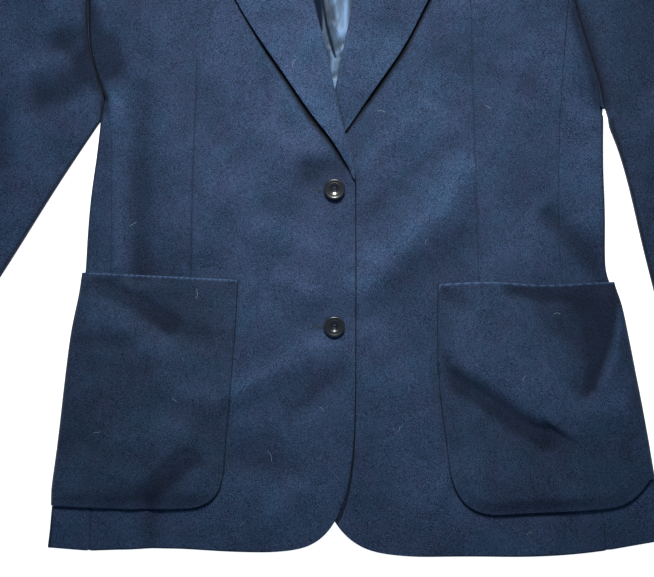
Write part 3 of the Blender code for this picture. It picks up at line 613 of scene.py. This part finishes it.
def relief(spots):
    """How far the cloth above the back is lifted at each spot, and the folds' part of it."""
    cloth = bpy.context.scene.blazer_cloth
    folds = fold_height(spots, BODY_FOLDS + ARMHOLE_FOLDS + SLEEVE_FOLDS) * cloth.crease_share
    waves = undulation(spots)
    height = cloth.loft / MM + waves + folds
    for name in BUTTONS:
        middle = np.array((base_of(name) - ORIGIN)[:2]) / MM
        away = np.linalg.norm(spots - middle, axis=1)
        height *= 1 - np.exp(-(away / BUTTON_CALM) ** 3)
    return Lift(np.clip(height, DEEPEST, HIGHEST), folds + waves)


def lines_of(node):
    """A piece's seams and gaps, and the shade where its outline turns under."""
    reach = SLEEVE_REACH.get(node, TURNED_REACH)
    turned = [even(path, reach, 0.0, TURNED_DARK) for path in TURNED_EDGES.get(node, ())]
    return LINES.get(node, []) + turned


def line_marks(lines, spots):
    """How far the lines sink the cloth at each spot, and how dark their painted shade makes it."""
    sunk = np.zeros(len(spots))
    dark = np.zeros(len(spots))
    for line in lines:
        away, along, _ = nearest_on(line.path, spots)
        share = away / np.interp(along, range(len(line.reach)), line.reach)
        sunk += line.depth * np.exp(-share ** 2)
        dark = np.maximum(dark, line.dark * np.exp(-share ** 4))
    return sunk, dark


def in_scene(name, data):
    """A new object in the scene."""
    thing = bpy.data.objects.new(name, data)
    bpy.context.scene.collection.objects.link(thing)
    return thing


def new_object(name, mesh, material):
    """A piece of the blazer with one material."""
    piece = in_scene(name, mesh)
    mesh.materials.clear()
    mesh.materials.append(material)
    return piece


def mesh_from(name, bm):
    """A new mesh from a bmesh, which is then freed."""
    mesh = bpy.data.meshes.new(name)
    bm.to_mesh(mesh)
    bm.free()
    return mesh


def finished(name, bm, material):
    """Makes a small piece from a bmesh and sets it on the body."""
    mesh = mesh_from(name, bm)
    mesh.shade_smooth()
    mesh.set_sharp_from_angle(angle=SMALL_SHARP)
    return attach(new_object(name, mesh, material), "root")


def shown_mesh(piece):
    """The mesh of an object with its modifiers applied."""
    bpy.context.view_layer.update()
    graph = bpy.context.evaluated_depsgraph_get()
    return bpy.data.meshes.new_from_object(piece.evaluated_get(graph))


def write_attribute(mesh, name, values):
    """Notes a value on each point of a mesh, for its material to read."""
    layer = mesh.attributes.new(name, "FLOAT", "POINT")
    layer.data.foreach_set("value", np.asarray(values, np.float32))


def solid_copy(node):
    """A CAD node's mesh with its corners merged and its pairs of triangles joined."""
    bm = bmesh.new()
    bm.from_mesh(NODES[node].data)
    bmesh.ops.remove_doubles(bm, verts=bm.verts[:], dist=MERGE)
    bmesh.ops.join_triangles(bm, faces=bm.faces[:], angle_face_threshold=FLAT_JOIN,
                             angle_shape_threshold=SQUARE_JOIN)
    return bm


def rim_of(bm):
    """The sharp edges round a wall of cloth."""
    return [edge for edge in bm.edges if edge.is_manifold and edge.calc_face_angle() > RIM_ANGLE]


def rim_tree(edges, keep):
    """A search tree over the points along a piece's rim that are to be kept, in the garment's plane."""
    points = []
    for edge in edges:
        start, end = (vertex.co for vertex in edge.verts)
        steps = max(1, round((end - start).length / (RIM_STEP * MM)))
        points += [(start.lerp(end, step / steps) - ORIGIN) / MM for step in range(steps)]
    points = [point for point in points if keep(point)]
    tree = KDTree(len(points))
    for number, point in enumerate(points):
        tree.insert(point, number)
    tree.balance()
    return tree


def from_rim(points, tree):
    """How far each point lies from a rim."""
    origin = np.array(ORIGIN)
    return np.array([tree.find(point)[2] for point in (points - origin) / MM])


def cut_along(bm, line):
    """Cuts the faces near a line along it and beside it, so that the line has edges to follow."""
    for number, (start, end) in enumerate(zip(line.path, line.path[1:])):
        reach = (line.reach[number] + line.reach[number + 1]) / 2
        start, end = place(*start), place(*end)
        along = (end - start).normalized()
        across = along.cross(Vector((0, 0, 1)))
        middle = (start + end) / 2
        long = (end - start).length / 2 + LINE_MARGIN * MM
        wide = (reach * LINE_CUTS[-1] + LINE_MARGIN) * MM
        near = set()
        for face in bm.faces:
            away = face.calc_center_median() - middle
            if away.length > long + FACE_REACH * MM:
                continue
            spread = max((vertex.co - middle - away).length for vertex in face.verts)
            if abs(away.dot(along)) < long + spread and abs(away.dot(across)) < wide + spread:
                near.update((face, *face.edges, *face.verts))
        near = list(near)
        for share in LINE_CUTS:
            cut = bmesh.ops.bisect_plane(bm, geom=near, dist=CUT_SNAP * MM, plane_no=across,
                                         plane_co=start + across * share * reach * MM)
            near = cut["geom"]


def fine_mesh(piece, levels, lines):
    """The mesh of an object, divided finely and cut along its lines."""
    finer = piece.modifiers.new("finer", "SUBSURF")
    finer.levels = finer.render_levels = levels
    mesh = shown_mesh(piece)
    piece.modifiers.clear()
    if lines:
        bm = bmesh.new()
        bm.from_mesh(mesh)
        for line in lines:
            cut_along(bm, line)
        bm.to_mesh(mesh)
        bm.free()
    return mesh


def shape_cloth(mesh, node, lines, mouth, own_relief):
    """Lifts, sinks and pushes the points of a cloth, and notes on them what its material reads."""
    points = np.empty(len(mesh.vertices) * 3, np.float32)
    mesh.vertices.foreach_get("co", points)
    points = points.reshape(-1, 3).astype(float)
    spots = (points[:, :2] - np.array(ORIGIN[:2])) / MM
    edge = from_rim(points, mouth) if mouth else np.full(len(points), np.inf)
    height, crest = relief(spots)
    if own_relief:
        own = own_relief(spots, points)
        height, crest = height + own.height, crest + own.crest
    sunk, dark = line_marks(lines, spots)
    rising = ease((points[:, 2] / MM - LIFT_FROM) / (LIFT_TO - LIFT_FROM))
    points[:, 2] = np.maximum(points[:, 2] + (height - sunk) * rising * MM, 0)
    for nudge in NUDGES.get(node, []):
        away = np.linalg.norm(spots - np.array(nudge.middle), axis=1)
        points[:, :2] += np.exp(-(away / nudge.reach) ** 2)[:, None] * np.array(nudge.push) * MM
    mesh.vertices.foreach_set("co", points.astype(np.float32).ravel())
    # Painted shade along the lines, for the materials
    write_attribute(mesh, "dark", dark)
    # Painted light and shade of the folds, for the materials
    write_attribute(mesh, "crest", np.clip(crest / CREST, -1, 1))
    # Painted highlight, with wear, along a pocket's mouth
    write_attribute(mesh, "edge", np.exp(-(edge / LIT_AND_WORN_EDGE) ** 2))
    mesh.shade_smooth()
    mesh.update()


def cloth_piece(node, material, own_relief=None):
    """A fine shell on the form of a CAD node, with soft edges, darts and creases."""
    panel = PANELS[node]
    name = f"cloth_{node}"
    bm = solid_copy(node)
    crease = bm.edges.layers.float.new("crease_edge")
    rim = rim_of(bm)
    for edge in rim:
        edge[crease] = bpy.context.scene.blazer_cloth.edge_sharpness
    mouth = rim_tree(rim, on_mouth(node)) if "pocket" in node else None
    thickness = LINING if node == "lining_back" else CLOTH
    area = bm.calc_volume() / (thickness * MM)
    piece = new_object(name, mesh_from(name, bm), material)
    lines = lines_of(node)
    piece.data = fine_mesh(piece, panel.levels, lines)
    shape_cloth(piece.data, node, lines, mouth, own_relief)
    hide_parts(node)
    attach(piece, "root")
    return piece


def on_mouth(node):
    """Whether a point of a pocket's rim is on its mouth."""
    lowest = (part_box(node)[1].y - ORIGIN.y) / MM - MOUTH_BAND
    return lambda spot: spot.y > lowest


def pocket_relief(node):
    """The height of a pocket's own cloth: none where it is sewn on, free at its mouth."""
    bm = solid_copy(node)
    free = (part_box(node)[1].y - ORIGIN.y) / MM - POCKET_FREE
    tree = rim_tree(rim_of(bm), lambda spot: spot.y < free)
    bm.free()

    def height(spots, points):
        inside = ease(from_rim(points, tree) / POCKET_HOLD)
        folds = fold_height(spots, POCKET_FOLDS[node]) * bpy.context.scene.blazer_cloth.crease_share
        return Lift(inside * np.maximum(POCKET_BASE[node] + folds, 0), inside * folds)

    return height


def lapel_relief(node):
    """The height of a lapel's outer edge over the front."""
    def height(spots, points):
        return Lift(fold_height(spots, LAPEL_FOLDS[node]), np.zeros(len(spots)))

    return height


def lining_relief(spots, points):
    """The crumples of the satin, which show more by the painted sheen and shade on them than by their height.
    """
    folds = fold_height(spots, LINING_FOLDS)
    return Lift(folds, (folds - LINING_MIDDLE) * LINING_CREST)


class Wire:
    """A shader socket that takes part in sums, so that shader maths reads as an expression."""

    def __init__(self, finish, socket):
        self.finish = finish
        self.socket = socket

    def math(self, operation, first, second):
        return self.finish.node("ShaderNodeMath", {"operation": operation}, {0: first, 1: second})

    def __add__(self, other):
        return self.math("ADD", self, other)

    def __radd__(self, other):
        return self.math("ADD", other, self)

    def __sub__(self, other):
        return self.math("SUBTRACT", self, other)

    def __rsub__(self, other):
        return self.math("SUBTRACT", other, self)

    def __mul__(self, other):
        return self.math("MULTIPLY", self, other)

    def __rmul__(self, other):
        return self.math("MULTIPLY", other, self)


class Finish:
    """A procedural material, with one way to make its nodes."""

    def __init__(self, name, **constants):
        self.material = bpy.data.materials.new(name)
        self.material.use_nodes = True
        self.tree = self.material.node_tree
        self.shader = self.tree.nodes["Principled BSDF"]
        for socket, value in constants.items():
            self.shader.inputs[socket.replace("_", " ")].default_value = value

    def node(self, kind, settings=None, sockets=None, result=0):
        """A new node's output: its settings come first, then the values or links of its sockets."""
        node = self.tree.nodes.new(kind)
        for name, value in (settings or {}).items():
            setattr(node, name, value)
        for name, value in (sockets or {}).items():
            if isinstance(value, Wire):
                self.tree.links.new(value.socket, node.inputs[name])
            else:
                node.inputs[name].default_value = value
        return Wire(self, node.outputs[result])

    def places(self, turn=0.0, stretch=(1, 1, 1)):
        """Object coordinates, turned about Z and stretched."""
        coordinates = self.node("ShaderNodeTexCoord", result="Object")
        return self.node("ShaderNodeMapping", sockets={
            "Vector": coordinates, "Rotation": Euler((0, 0, turn)), "Scale": stretch})

    def noise(self, where, size, detail=2.0, roughness=0.5, warp=0.0):
        """Cloudy noise with lumps of a size."""
        return self.node("ShaderNodeTexNoise", sockets={
            "Vector": where, "Scale": 1 / size, "Detail": detail, "Roughness": roughness,
            "Distortion": warp})

    def ribs(self, where, pitch, warp=0.0):
        """Sine ribs across X, a pitch apart. The node itself makes 20 radians of wave in a unit."""
        waves = math.tau / 20 / pitch
        return self.node("ShaderNodeTexWave", {"bands_direction": "X"}, {
            "Vector": where, "Scale": waves, "Distortion": warp, "Detail": 1.0, "Detail Scale": 2.0})

    def mark(self, name):
        """A value that was noted on the mesh's points."""
        return self.node("ShaderNodeAttribute", {"attribute_name": name}, result="Fac")

    def mix(self, share, first, second, blend="MIX"):
        """Mixes two colours, which are the node's sockets 6 and 7."""
        return self.node("ShaderNodeMix", {"data_type": "RGBA", "blend_type": blend, "clamp_factor": True},
                         {0: share, 6: first, 7: second}, result=2)

    def feed(self, socket, wire):
        """Links a value to a socket of the shader."""
        self.tree.links.new(wire.socket, self.shader.inputs[socket])

    def bump(self, height, distance, strength=1.0):
        """Raises the surface by a height."""
        self.feed("Normal", self.node("ShaderNodeBump", sockets={
            "Height": height, "Distance": distance, "Strength": strength}))


def shade(colour, share=1.0):
    """A colour times a share, with its alpha."""
    return (*(part * share for part in colour), 1.0)


def grey(value):
    return shade((1, 1, 1), value)


def wool(name, turn, tone):
    """Navy wool: a soft twill of mixed yarns with a short nap. turn is the warp's heading, and tone paints
    the whole panel lighter or darker as the light and shade that fall on it.
    """
    cloth = bpy.context.scene.blazer_cloth
    finish = Finish(name, Roughness=0.86, Specular_IOR_Level=0.22, Sheen_Weight=0.10,
                    Sheen_Roughness=0.42, Sheen_Tint=(0.62, 0.74, 1.0, 1.0))
    where = finish.places(turn)
    slant = finish.places(turn + math.radians(62))
    flecks = finish.noise(where, cloth.fleck, 2.0, 0.7)
    nap = finish.noise(where, 3.0 * cloth.fleck, 2.0, 0.6)
    cloud = finish.noise(where, 0.022, 3.0, 0.6)
    drift = finish.noise(where, 0.026, 3.0, 0.6)
    twill = finish.ribs(slant, cloth.twill_pitch, 1.6)
    share = 0.5 + (flecks - 0.5) * 8.5 + (nap - 0.5) * 1.3 + (twill - 0.5) * 0.25 + (cloud - 0.5) * 1.2
    # Painted light and shade: tone makes the whole panel's yarns lighter or darker
    yarn = finish.mix(share, shade(cloth.wool_dark, tone), shade(cloth.wool_light, tone))
    tint = finish.mix(0.5 + (drift - 0.5) * 3.0, (0.86, 1.05, 1.02, 1), (1.14, 0.96, 1.0, 1))
    yarn = finish.mix(1.0, yarn, tint, "MULTIPLY")
    # Painted light and shade: the wool is painted lighter on the folds' ridges and darker in their troughs
    fold_light_and_shade = finish.mix(0.5 + finish.mark("crest") * 0.5, (0.34, 0.36, 0.42, 1), (1.62, 1.58, 1.50, 1))
    yarn = finish.mix(1.0, yarn, fold_light_and_shade, "MULTIPLY")
    # Painted highlight along a pocket's mouth where its rim catches the light, with some wear
    yarn = finish.mix(finish.mark("edge") * 0.85, yarn, shade(cloth.wool_light, 1.9))
    # Painted shade: the colour is made dark along the gaps, grooves and turned-under outlines
    yarn = finish.mix(finish.mark("dark"), yarn, shade(cloth.wool_dark, 0.12))
    finish.feed("Base Color", yarn)
    finish.bump(flecks * 0.6 + nap * 0.5 + twill * 0.35, 0.0007, 0.55)
    return finish.material


def wool_for(node):
    """A panel's wool: the body's, or its own where its warp runs another way or where it is painted lighter
    or darker for the light and shade on it.
    """
    panel = PANELS[node]
    as_body = (panel.turn, panel.tone) == (0, 1)
    name = "wool_body" if as_body else f"wool_{node}"
    return bpy.data.materials.get(name) or wool(name, panel.turn, panel.tone)


def satin():
    """Light steel-blue lining with a lengthwise thread."""
    cloth = bpy.context.scene.blazer_cloth
    finish = Finish("satin", Specular_IOR_Level=0.14)
    threads = finish.noise(finish.places(stretch=(1, 0.05, 1)), 0.0006, 2.0, 0.5)
    cloud = finish.noise(finish.places(stretch=(1, 0.4, 1)), 0.012, 2.0, 0.5)
    tone = finish.mix(0.5 + (threads - 0.5) * 1.6 + (cloud - 0.5) * 3.2,
                      shade(cloth.satin, 0.45), shade(cloth.satin, 1.5))
    # Painted sheen and shade: the satin is painted lighter on its crumples' ridges and darker between them
    crumple_light_and_shade = finish.mix(0.5 + finish.mark("crest") * 0.5, grey(0.45), grey(2.1))
    tone = finish.mix(1.0, tone, crumple_light_and_shade, "MULTIPLY")
    # Painted shadow: the colour is made dark along the tucks and beside the lapel's roll
    tone = finish.mix(finish.mark("dark"), tone, shade(cloth.wool_dark, 0.6))
    finish.feed("Base Color", tone)
    finish.feed("Roughness", 0.42 + finish.mark("dark") * 0.55)
    finish.bump(threads + cloud * 2.0, 0.0004, 0.5)
    return finish.material


def resin():
    """Dark mottled button resin under a clear gloss."""
    buttons = bpy.context.scene.blazer_buttons
    finish = Finish("resin", Specular_IOR_Level=0.5, Coat_Weight=0.6, Coat_Roughness=0.1)
    streaks = finish.noise(finish.places(stretch=(1, 1.6, 1)), 0.0026, 4.0, 0.6, 1.4)
    grain = finish.noise(finish.places(), 0.0007, 2.0, 0.5)
    finish.feed("Base Color", finish.mix((streaks - 0.56) * 5.0 + (grain - 0.5) * 0.8,
                                         shade(buttons.resin_dark), shade(buttons.resin_light)))
    finish.feed("Roughness", 0.22 + grain * 0.2)
    finish.bump(grain, 0.00006, 0.4)
    return finish.material


def thread():
    """Navy sewing thread with a twist."""
    buttons = bpy.context.scene.blazer_buttons
    finish = Finish("thread", Roughness=0.6, Sheen_Weight=0.3, Sheen_Roughness=0.4)
    twist = finish.ribs(finish.places(math.radians(40)), 0.0005)
    finish.feed("Base Color", finish.mix(twist * 0.7 + 0.15, shade(buttons.thread, 0.6),
                                         shade(buttons.thread, 1.6)))
    finish.bump(twist, 0.0001, 0.6)
    return finish.material


def lint_fibre():
    """Pale stray fibre."""
    finish = Finish("lint", Roughness=0.8)
    tone = finish.noise(finish.places(), 0.002)
    finish.feed("Base Color", finish.mix(tone, (0.16, 0.2, 0.26, 1), (0.34, 0.38, 0.44, 1)))
    return finish.material


def top_of(names):
    """A function that gives the height of the top cloth at a place."""
    trees = []
    for name in names:
        mesh = bpy.data.objects[f"cloth_{name}"].data
        polygons = [tuple(polygon.vertices) for polygon in mesh.polygons]
        trees.append(BVHTree.FromPolygons([vertex.co for vertex in mesh.vertices], polygons))

    def height(x, y):
        start = place(x, y, ABOVE_ALL)
        hits = [tree.ray_cast(start, Vector((0, 0, -1)))[0] for tree in trees]
        return max((hit.z for hit in hits if hit), default=0.0) / MM

    return height


def seam_allowance(name, material):
    """The strip of cloth under a seam."""
    half, path = ALLOWANCES[name]
    path = [Vector(point) for point in path]
    last = len(path) - 1
    bm = bmesh.new()
    bmesh.ops.create_grid(bm, x_segments=last, y_segments=1, size=0.5)
    for vertex in bm.verts:
        number = round((vertex.co.x + 0.5) * last)
        before, after = path[max(number - 1, 0)], path[min(number + 1, last)]
        across = (after - before).normalized().orthogonal()
        spot = path[number] + across * (2 * vertex.co.y * half)
        vertex.co = place(spot.x, spot.y, ALLOWANCE_HEIGHT)
    bmesh.ops.recalc_face_normals(bm, faces=bm.faces[:])
    bmesh.ops.solidify(bm, geom=bm.faces[:], thickness=ALLOWANCE_THICKNESS * MM)
    for vertex in bm.verts:
        vertex.co.z = max(vertex.co.z, ALLOWANCE_LOWEST * MM)
    return finished(f"allowance_{name}", bm, material)


def strand(bm, points, radius, sides):
    """Adds a thin round strand through some points."""
    for start, end in zip(points, points[1:]):
        along = end - start
        turn = along.to_track_quat("Z", "Y").to_matrix().to_4x4()
        bmesh.ops.create_cone(bm, cap_ends=True, segments=sides, radius1=radius, radius2=radius,
                              depth=along.length, matrix=Matrix.Translation((start + end) / 2) @ turn)


def button_profile():
    """Half of a button's section, from the middle of its face to the middle of its back: (radius, height)."""
    rim = BUTTON_RADIUS
    return [(0.0, 1.6), (1.7, 1.7), (3.2, 2.15), (4.8, 2.75), (rim * 0.62, 3.0), (rim * 0.68, 2.85),
            (rim * 0.78, 3.15), (rim - 1.0, 3.3), (rim - 0.15, 2.7), (rim, 1.9), (rim - 0.6, 0.9),
            (rim * 0.8, 0.1), (0.0, 0.0)]


def drill(piece, base):
    """Cuts the holes into a button that stands on a point."""
    drills = []
    for number in range(HOLES):
        angle = math.tau / HOLES * (number + 0.5)
        spot = base + Vector((math.cos(angle), math.sin(angle), 0)) * HOLE_RING * MM
        bm = bmesh.new()
        bmesh.ops.create_cone(bm, cap_ends=True, segments=20, radius1=HOLE_RADIUS * MM,
                              radius2=HOLE_RADIUS * MM, depth=DRILL_LENGTH * MM,
                              matrix=Matrix.Translation(spot))
        cutter = in_scene("drill", mesh_from("drill", bm))
        drills.append(cutter)
        cut = piece.modifiers.new("hole", "BOOLEAN")
        cut.operation = "DIFFERENCE"
        cut.object = cutter
    piece.data = shown_mesh(piece)
    piece.modifiers.clear()
    for cutter in drills:
        bpy.data.objects.remove(cutter)


def button_body(name, material):
    """A turned resin button with four holes, on the place of its CAD node."""
    base = base_of(name)
    bm = bmesh.new()
    section = [bm.verts.new((radius * MM, 0, height * MM)) for radius, height in button_profile()]
    for pair in zip(section, section[1:]):
        bm.edges.new(pair)
    bmesh.ops.bevel(bm, geom=section[1:-1], offset=BUTTON_BEVEL * MM, segments=3, profile=0.5,
                    affect="VERTICES", material=-1)
    bmesh.ops.spin(bm, geom=bm.verts[:] + bm.edges[:], cent=(0, 0, 0), axis=(0, 0, 1), angle=math.tau,
                   steps=BUTTON_STEPS, use_merge=True)
    bmesh.ops.remove_doubles(bm, verts=bm.verts[:], dist=0.001 * MM)
    bmesh.ops.recalc_face_normals(bm, faces=bm.faces[:])
    bmesh.ops.translate(bm, verts=bm.verts[:], vec=base)
    piece = new_object(f"resin_{name}", mesh_from(f"resin_{name}", bm), material)
    drill(piece, base)
    piece.data.shade_smooth()
    piece.data.set_sharp_from_angle(angle=BUTTON_SHARP)
    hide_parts(name)
    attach(piece, "root")
    return piece


def button_stitches(name, material):
    """Two rows of thread across a button's dish, with their ends down in the holes."""
    base = base_of(name)
    bm = bmesh.new()
    for side in (-1, 1):
        for shift in STRANDS:
            y = side * STITCH_ROW + shift
            top = STITCH_TOP - STITCH_ROUND * abs(shift)
            route = ((-STITCH_DIP_HALF, STITCH_DIP), (-STITCH_HALF, top), (STITCH_HALF, top),
                     (STITCH_DIP_HALF, STITCH_DIP))
            strand(bm, [base + Vector((x, y, z)) * MM for x, z in route], STITCH_RADIUS * MM, 8)
    return finished(f"thread_{name}", bm, material)


def buttonhole(name, top, material):
    """The worked buttonhole that reaches out from under a button: rows of stitches, and rays at its end."""
    radius = bpy.context.scene.blazer_buttons.thread_width / 2
    y = (base_of(name).y - ORIGIN.y) / MM
    bm = bmesh.new()
    for number in range(round(BUTTONHOLE_LENGTH / BUTTONHOLE_PITCH)):
        x = BUTTONHOLE_START + number * BUTTONHOLE_PITCH
        z = top(x, y) + STITCH_LIFT
        for side in (-1, 1):
            ends = (place(x, y + side * BUTTONHOLE_SLIT, z),
                    place(x + STITCH_SLANT, y + side * BUTTONHOLE_HALF, z - STITCH_FALL))
            strand(bm, ends, radius, 6)
    x = BUTTONHOLE_START
    z = top(x - 1, y) + STITCH_LIFT
    for number in range(BUTTONHOLE_RAYS):
        angle = math.pi / 2 + math.pi * number / (BUTTONHOLE_RAYS - 1)
        out = Vector((math.cos(angle), math.sin(angle)))
        ends = (place(x + BUTTONHOLE_SLIT * out.x, y + BUTTONHOLE_SLIT * out.y, z),
                place(x + BUTTONHOLE_HALF * out.x, y + BUTTONHOLE_HALF * out.y, z - STITCH_FALL))
        strand(bm, ends, radius, 6)
    return finished(f"buttonhole_{name}", bm, material)


def fibre(bm, draw, top, spot, length, heading):
    """Adds a bent stray fibre on the cloth."""
    x, y = spot
    turn = math.radians(heading)
    curl = math.radians(draw.uniform(-LINT_CURL, LINT_CURL))
    points = []
    for _ in range(LINT_BENDS + 1):
        points.append(place(x, y, top(x, y) + LINT_LIFT))
        x += math.cos(turn) * length / LINT_BENDS
        y += math.sin(turn) * length / LINT_BENDS
        turn += curl
    strand(bm, points, LINT_RADIUS * MM, 5)


def make_floor(colour):
    """A wide pale floor just under the part, which glows so that it looks like a plain white ground."""
    bm = bmesh.new()
    bmesh.ops.create_grid(bm, x_segments=1, y_segments=1, size=FLOOR_HALF)
    bmesh.ops.translate(bm, verts=bm.verts[:], vec=(0, 0, -FLOOR_DROP * MM))
    mesh = mesh_from("floor", bm)
    finish = Finish("floor", Roughness=0.9, Specular_IOR_Level=0.1, Emission_Strength=0.92,
                    Emission_Color=grey(1))
    tone = finish.noise(finish.places(), 0.5)
    finish.feed("Base Color", finish.mix(tone, shade(colour, 0.99), shade(colour)))
    mesh.materials.append(finish.material)
    in_scene("floor", mesh)


def make_light(power):
    """One soft light beyond the collar, under a dim blue sky."""
    light = bpy.data.lights.new("key", "AREA")
    light.energy = power
    light.shape = "DISK"
    light.size = KEY_SIZE
    light.color = KEY_COLOUR
    light.spread = KEY_SPREAD
    lamp = in_scene("key", light)
    lamp.location = place(*KEY_PLACE)
    lamp.rotation_euler = (place(*KEY_TARGET) - place(*KEY_PLACE)).to_track_quat("-Z", "Y").to_euler()
    world = bpy.data.worlds.new("studio")
    bpy.context.scene.world = world
    world.use_nodes = True
    sky = world.node_tree.nodes["Background"]
    sky.inputs["Color"].default_value = SKY_COLOUR
    sky.inputs["Strength"].default_value = SKY_STRENGTH
    bpy.context.scene.view_settings.view_transform = "Standard"


def make_camera(height):
    """A camera straight above, that takes in what the photograph does."""
    camera = in_scene("camera", bpy.data.cameras.new("camera"))
    bpy.context.scene.camera = camera
    camera.location = place(*VIEW_MIDDLE, height / MM)
    camera.data.sensor_width = SENSOR
    camera.data.lens = SENSOR * (height / MM - VIEW_TOP) / VIEW_WIDTH


class BLAZER_OT_body(bpy.types.Operator):
    """Backs, side panels and fronts, with darts, creases and the allowance under open seams"""

    bl_idname = "blazer.body"
    bl_label = "Body"

    def execute(self, context):
        for side in ("right", "left"):
            for part in ("back", "side", "front"):
                cloth_piece(f"{part}_{side}", wool_for(f"{part}_{side}"))
        for name in ALLOWANCES:
            seam_allowance(name, wool_for("front_right"))
        return {"FINISHED"}


class BLAZER_OT_lapels(bpy.types.Operator):
    """Lapels and collar, turned back over the fronts"""

    bl_idname = "blazer.lapels"
    bl_label = "Lapels and collar"

    def execute(self, context):
        for node in ("lapel_right", "lapel_left"):
            cloth_piece(node, wool_for(node), own_relief=lapel_relief(node))
        cloth_piece("collar", wool_for("collar"))
        return {"FINISHED"}


class BLAZER_OT_pockets(bpy.types.Operator):
    """Patch pockets, which stand a little off the fronts"""

    bl_idname = "blazer.pockets"
    bl_label = "Pockets"

    def execute(self, context):
        for node in ("pocket_right", "pocket_left"):
            cloth_piece(node, wool_for(node), own_relief=pocket_relief(node))
        return {"FINISHED"}


class BLAZER_OT_sleeves(bpy.types.Operator):
    """Upper and under sleeves"""

    bl_idname = "blazer.sleeves"
    bl_label = "Sleeves"

    def execute(self, context):
        for side in ("right", "left"):
            for part in ("upper", "under"):
                node = f"sleeve_{part}_{side}"
                cloth_piece(node, wool_for(node))
        return {"FINISHED"}


class BLAZER_OT_lining(bpy.types.Operator):
    """The satin that shows in the neck opening"""

    bl_idname = "blazer.lining"
    bl_label = "Lining"

    def execute(self, context):
        cloth_piece("lining_back", satin(), lining_relief)
        return {"FINISHED"}


class BLAZER_OT_buttons(bpy.types.Operator):
    """Two four-hole resin buttons with their sewing"""

    bl_idname = "blazer.buttons"
    bl_label = "Buttons"

    def execute(self, context):
        material, sewing = resin(), thread()
        for name in BUTTONS:
            button_body(name, material)
            button_stitches(name, sewing)
        return {"FINISHED"}


class BLAZER_OT_buttonholes(bpy.types.Operator):
    """Worked buttonholes that reach out from under the buttons"""

    bl_idname = "blazer.buttonholes"
    bl_label = "Buttonholes"

    def execute(self, context):
        top = top_of(["front_right"])
        for name in BUTTONS:
            buttonhole(name, top, bpy.data.materials["thread"])
        return {"FINISHED"}


class BLAZER_OT_lint(bpy.types.Operator):
    """Stray pale fibres on the wool"""

    bl_idname = "blazer.lint"
    bl_label = "Lint"

    def execute(self, context):
        draw = np.random.default_rng(5)
        top = top_of([f"{part}_{side}" for part in ("front", "pocket", "lapel", "side")
                      for side in ("right", "left")])
        bm = bmesh.new()
        for spot, length, heading in LINT:
            fibre(bm, draw, top, spot, length, heading)
        finished("lint_fibres", bm, lint_fibre())
        return {"FINISHED"}


class BLAZER_OT_stage(bpy.types.Operator):
    """Pale floor, soft light and the camera straight above"""

    bl_idname = "blazer.stage"
    bl_label = "Stage"

    def execute(self, context):
        stage = context.scene.blazer_stage
        make_floor(stage.floor)
        make_light(stage.key_power)
        make_camera(stage.camera_height)
        return {"FINISHED"}


class BLAZER_PT_panel(bpy.types.Panel):
    """The blazer's settings and steps"""

    bl_idname = "BLAZER_PT_panel"
    bl_label = "Blazer"
    bl_space_type = "VIEW_3D"
    bl_region_type = "UI"
    bl_category = "Blazer"

    def draw(self, context):
        for group in (context.scene.blazer_cloth, context.scene.blazer_buttons, context.scene.blazer_stage):
            box = self.layout.box()
            for name in group.bl_rna.properties.keys():
                if name not in ("rna_type", "name"):
                    box.prop(group, name)
        for step in STEPS:
            self.layout.operator(step.bl_idname)


GROUPS = {"blazer_cloth": ClothSettings, "blazer_buttons": ButtonSettings, "blazer_stage": StageSettings}
STEPS = [BLAZER_OT_body, BLAZER_OT_lapels, BLAZER_OT_pockets, BLAZER_OT_sleeves, BLAZER_OT_lining,
         BLAZER_OT_buttons, BLAZER_OT_buttonholes, BLAZER_OT_lint, BLAZER_OT_stage]


def register():
    for group in GROUPS.values():
        bpy.utils.register_class(group)
    for name, group in GROUPS.items():
        setattr(bpy.types.Scene, name, bpy.props.PointerProperty(type=group))
    for step in STEPS:
        bpy.utils.register_class(step)
    bpy.utils.register_class(BLAZER_PT_panel)


def unregister():
    bpy.utils.unregister_class(BLAZER_PT_panel)
    for step in reversed(STEPS):
        bpy.utils.unregister_class(step)
    for name, group in GROUPS.items():
        delattr(bpy.types.Scene, name)
        bpy.utils.unregister_class(group)


def main():
    register()
    for step in STEPS:
        getattr(bpy.ops.blazer, step.bl_idname.split(".")[1])()


if __name__ == "__main__":
    main()
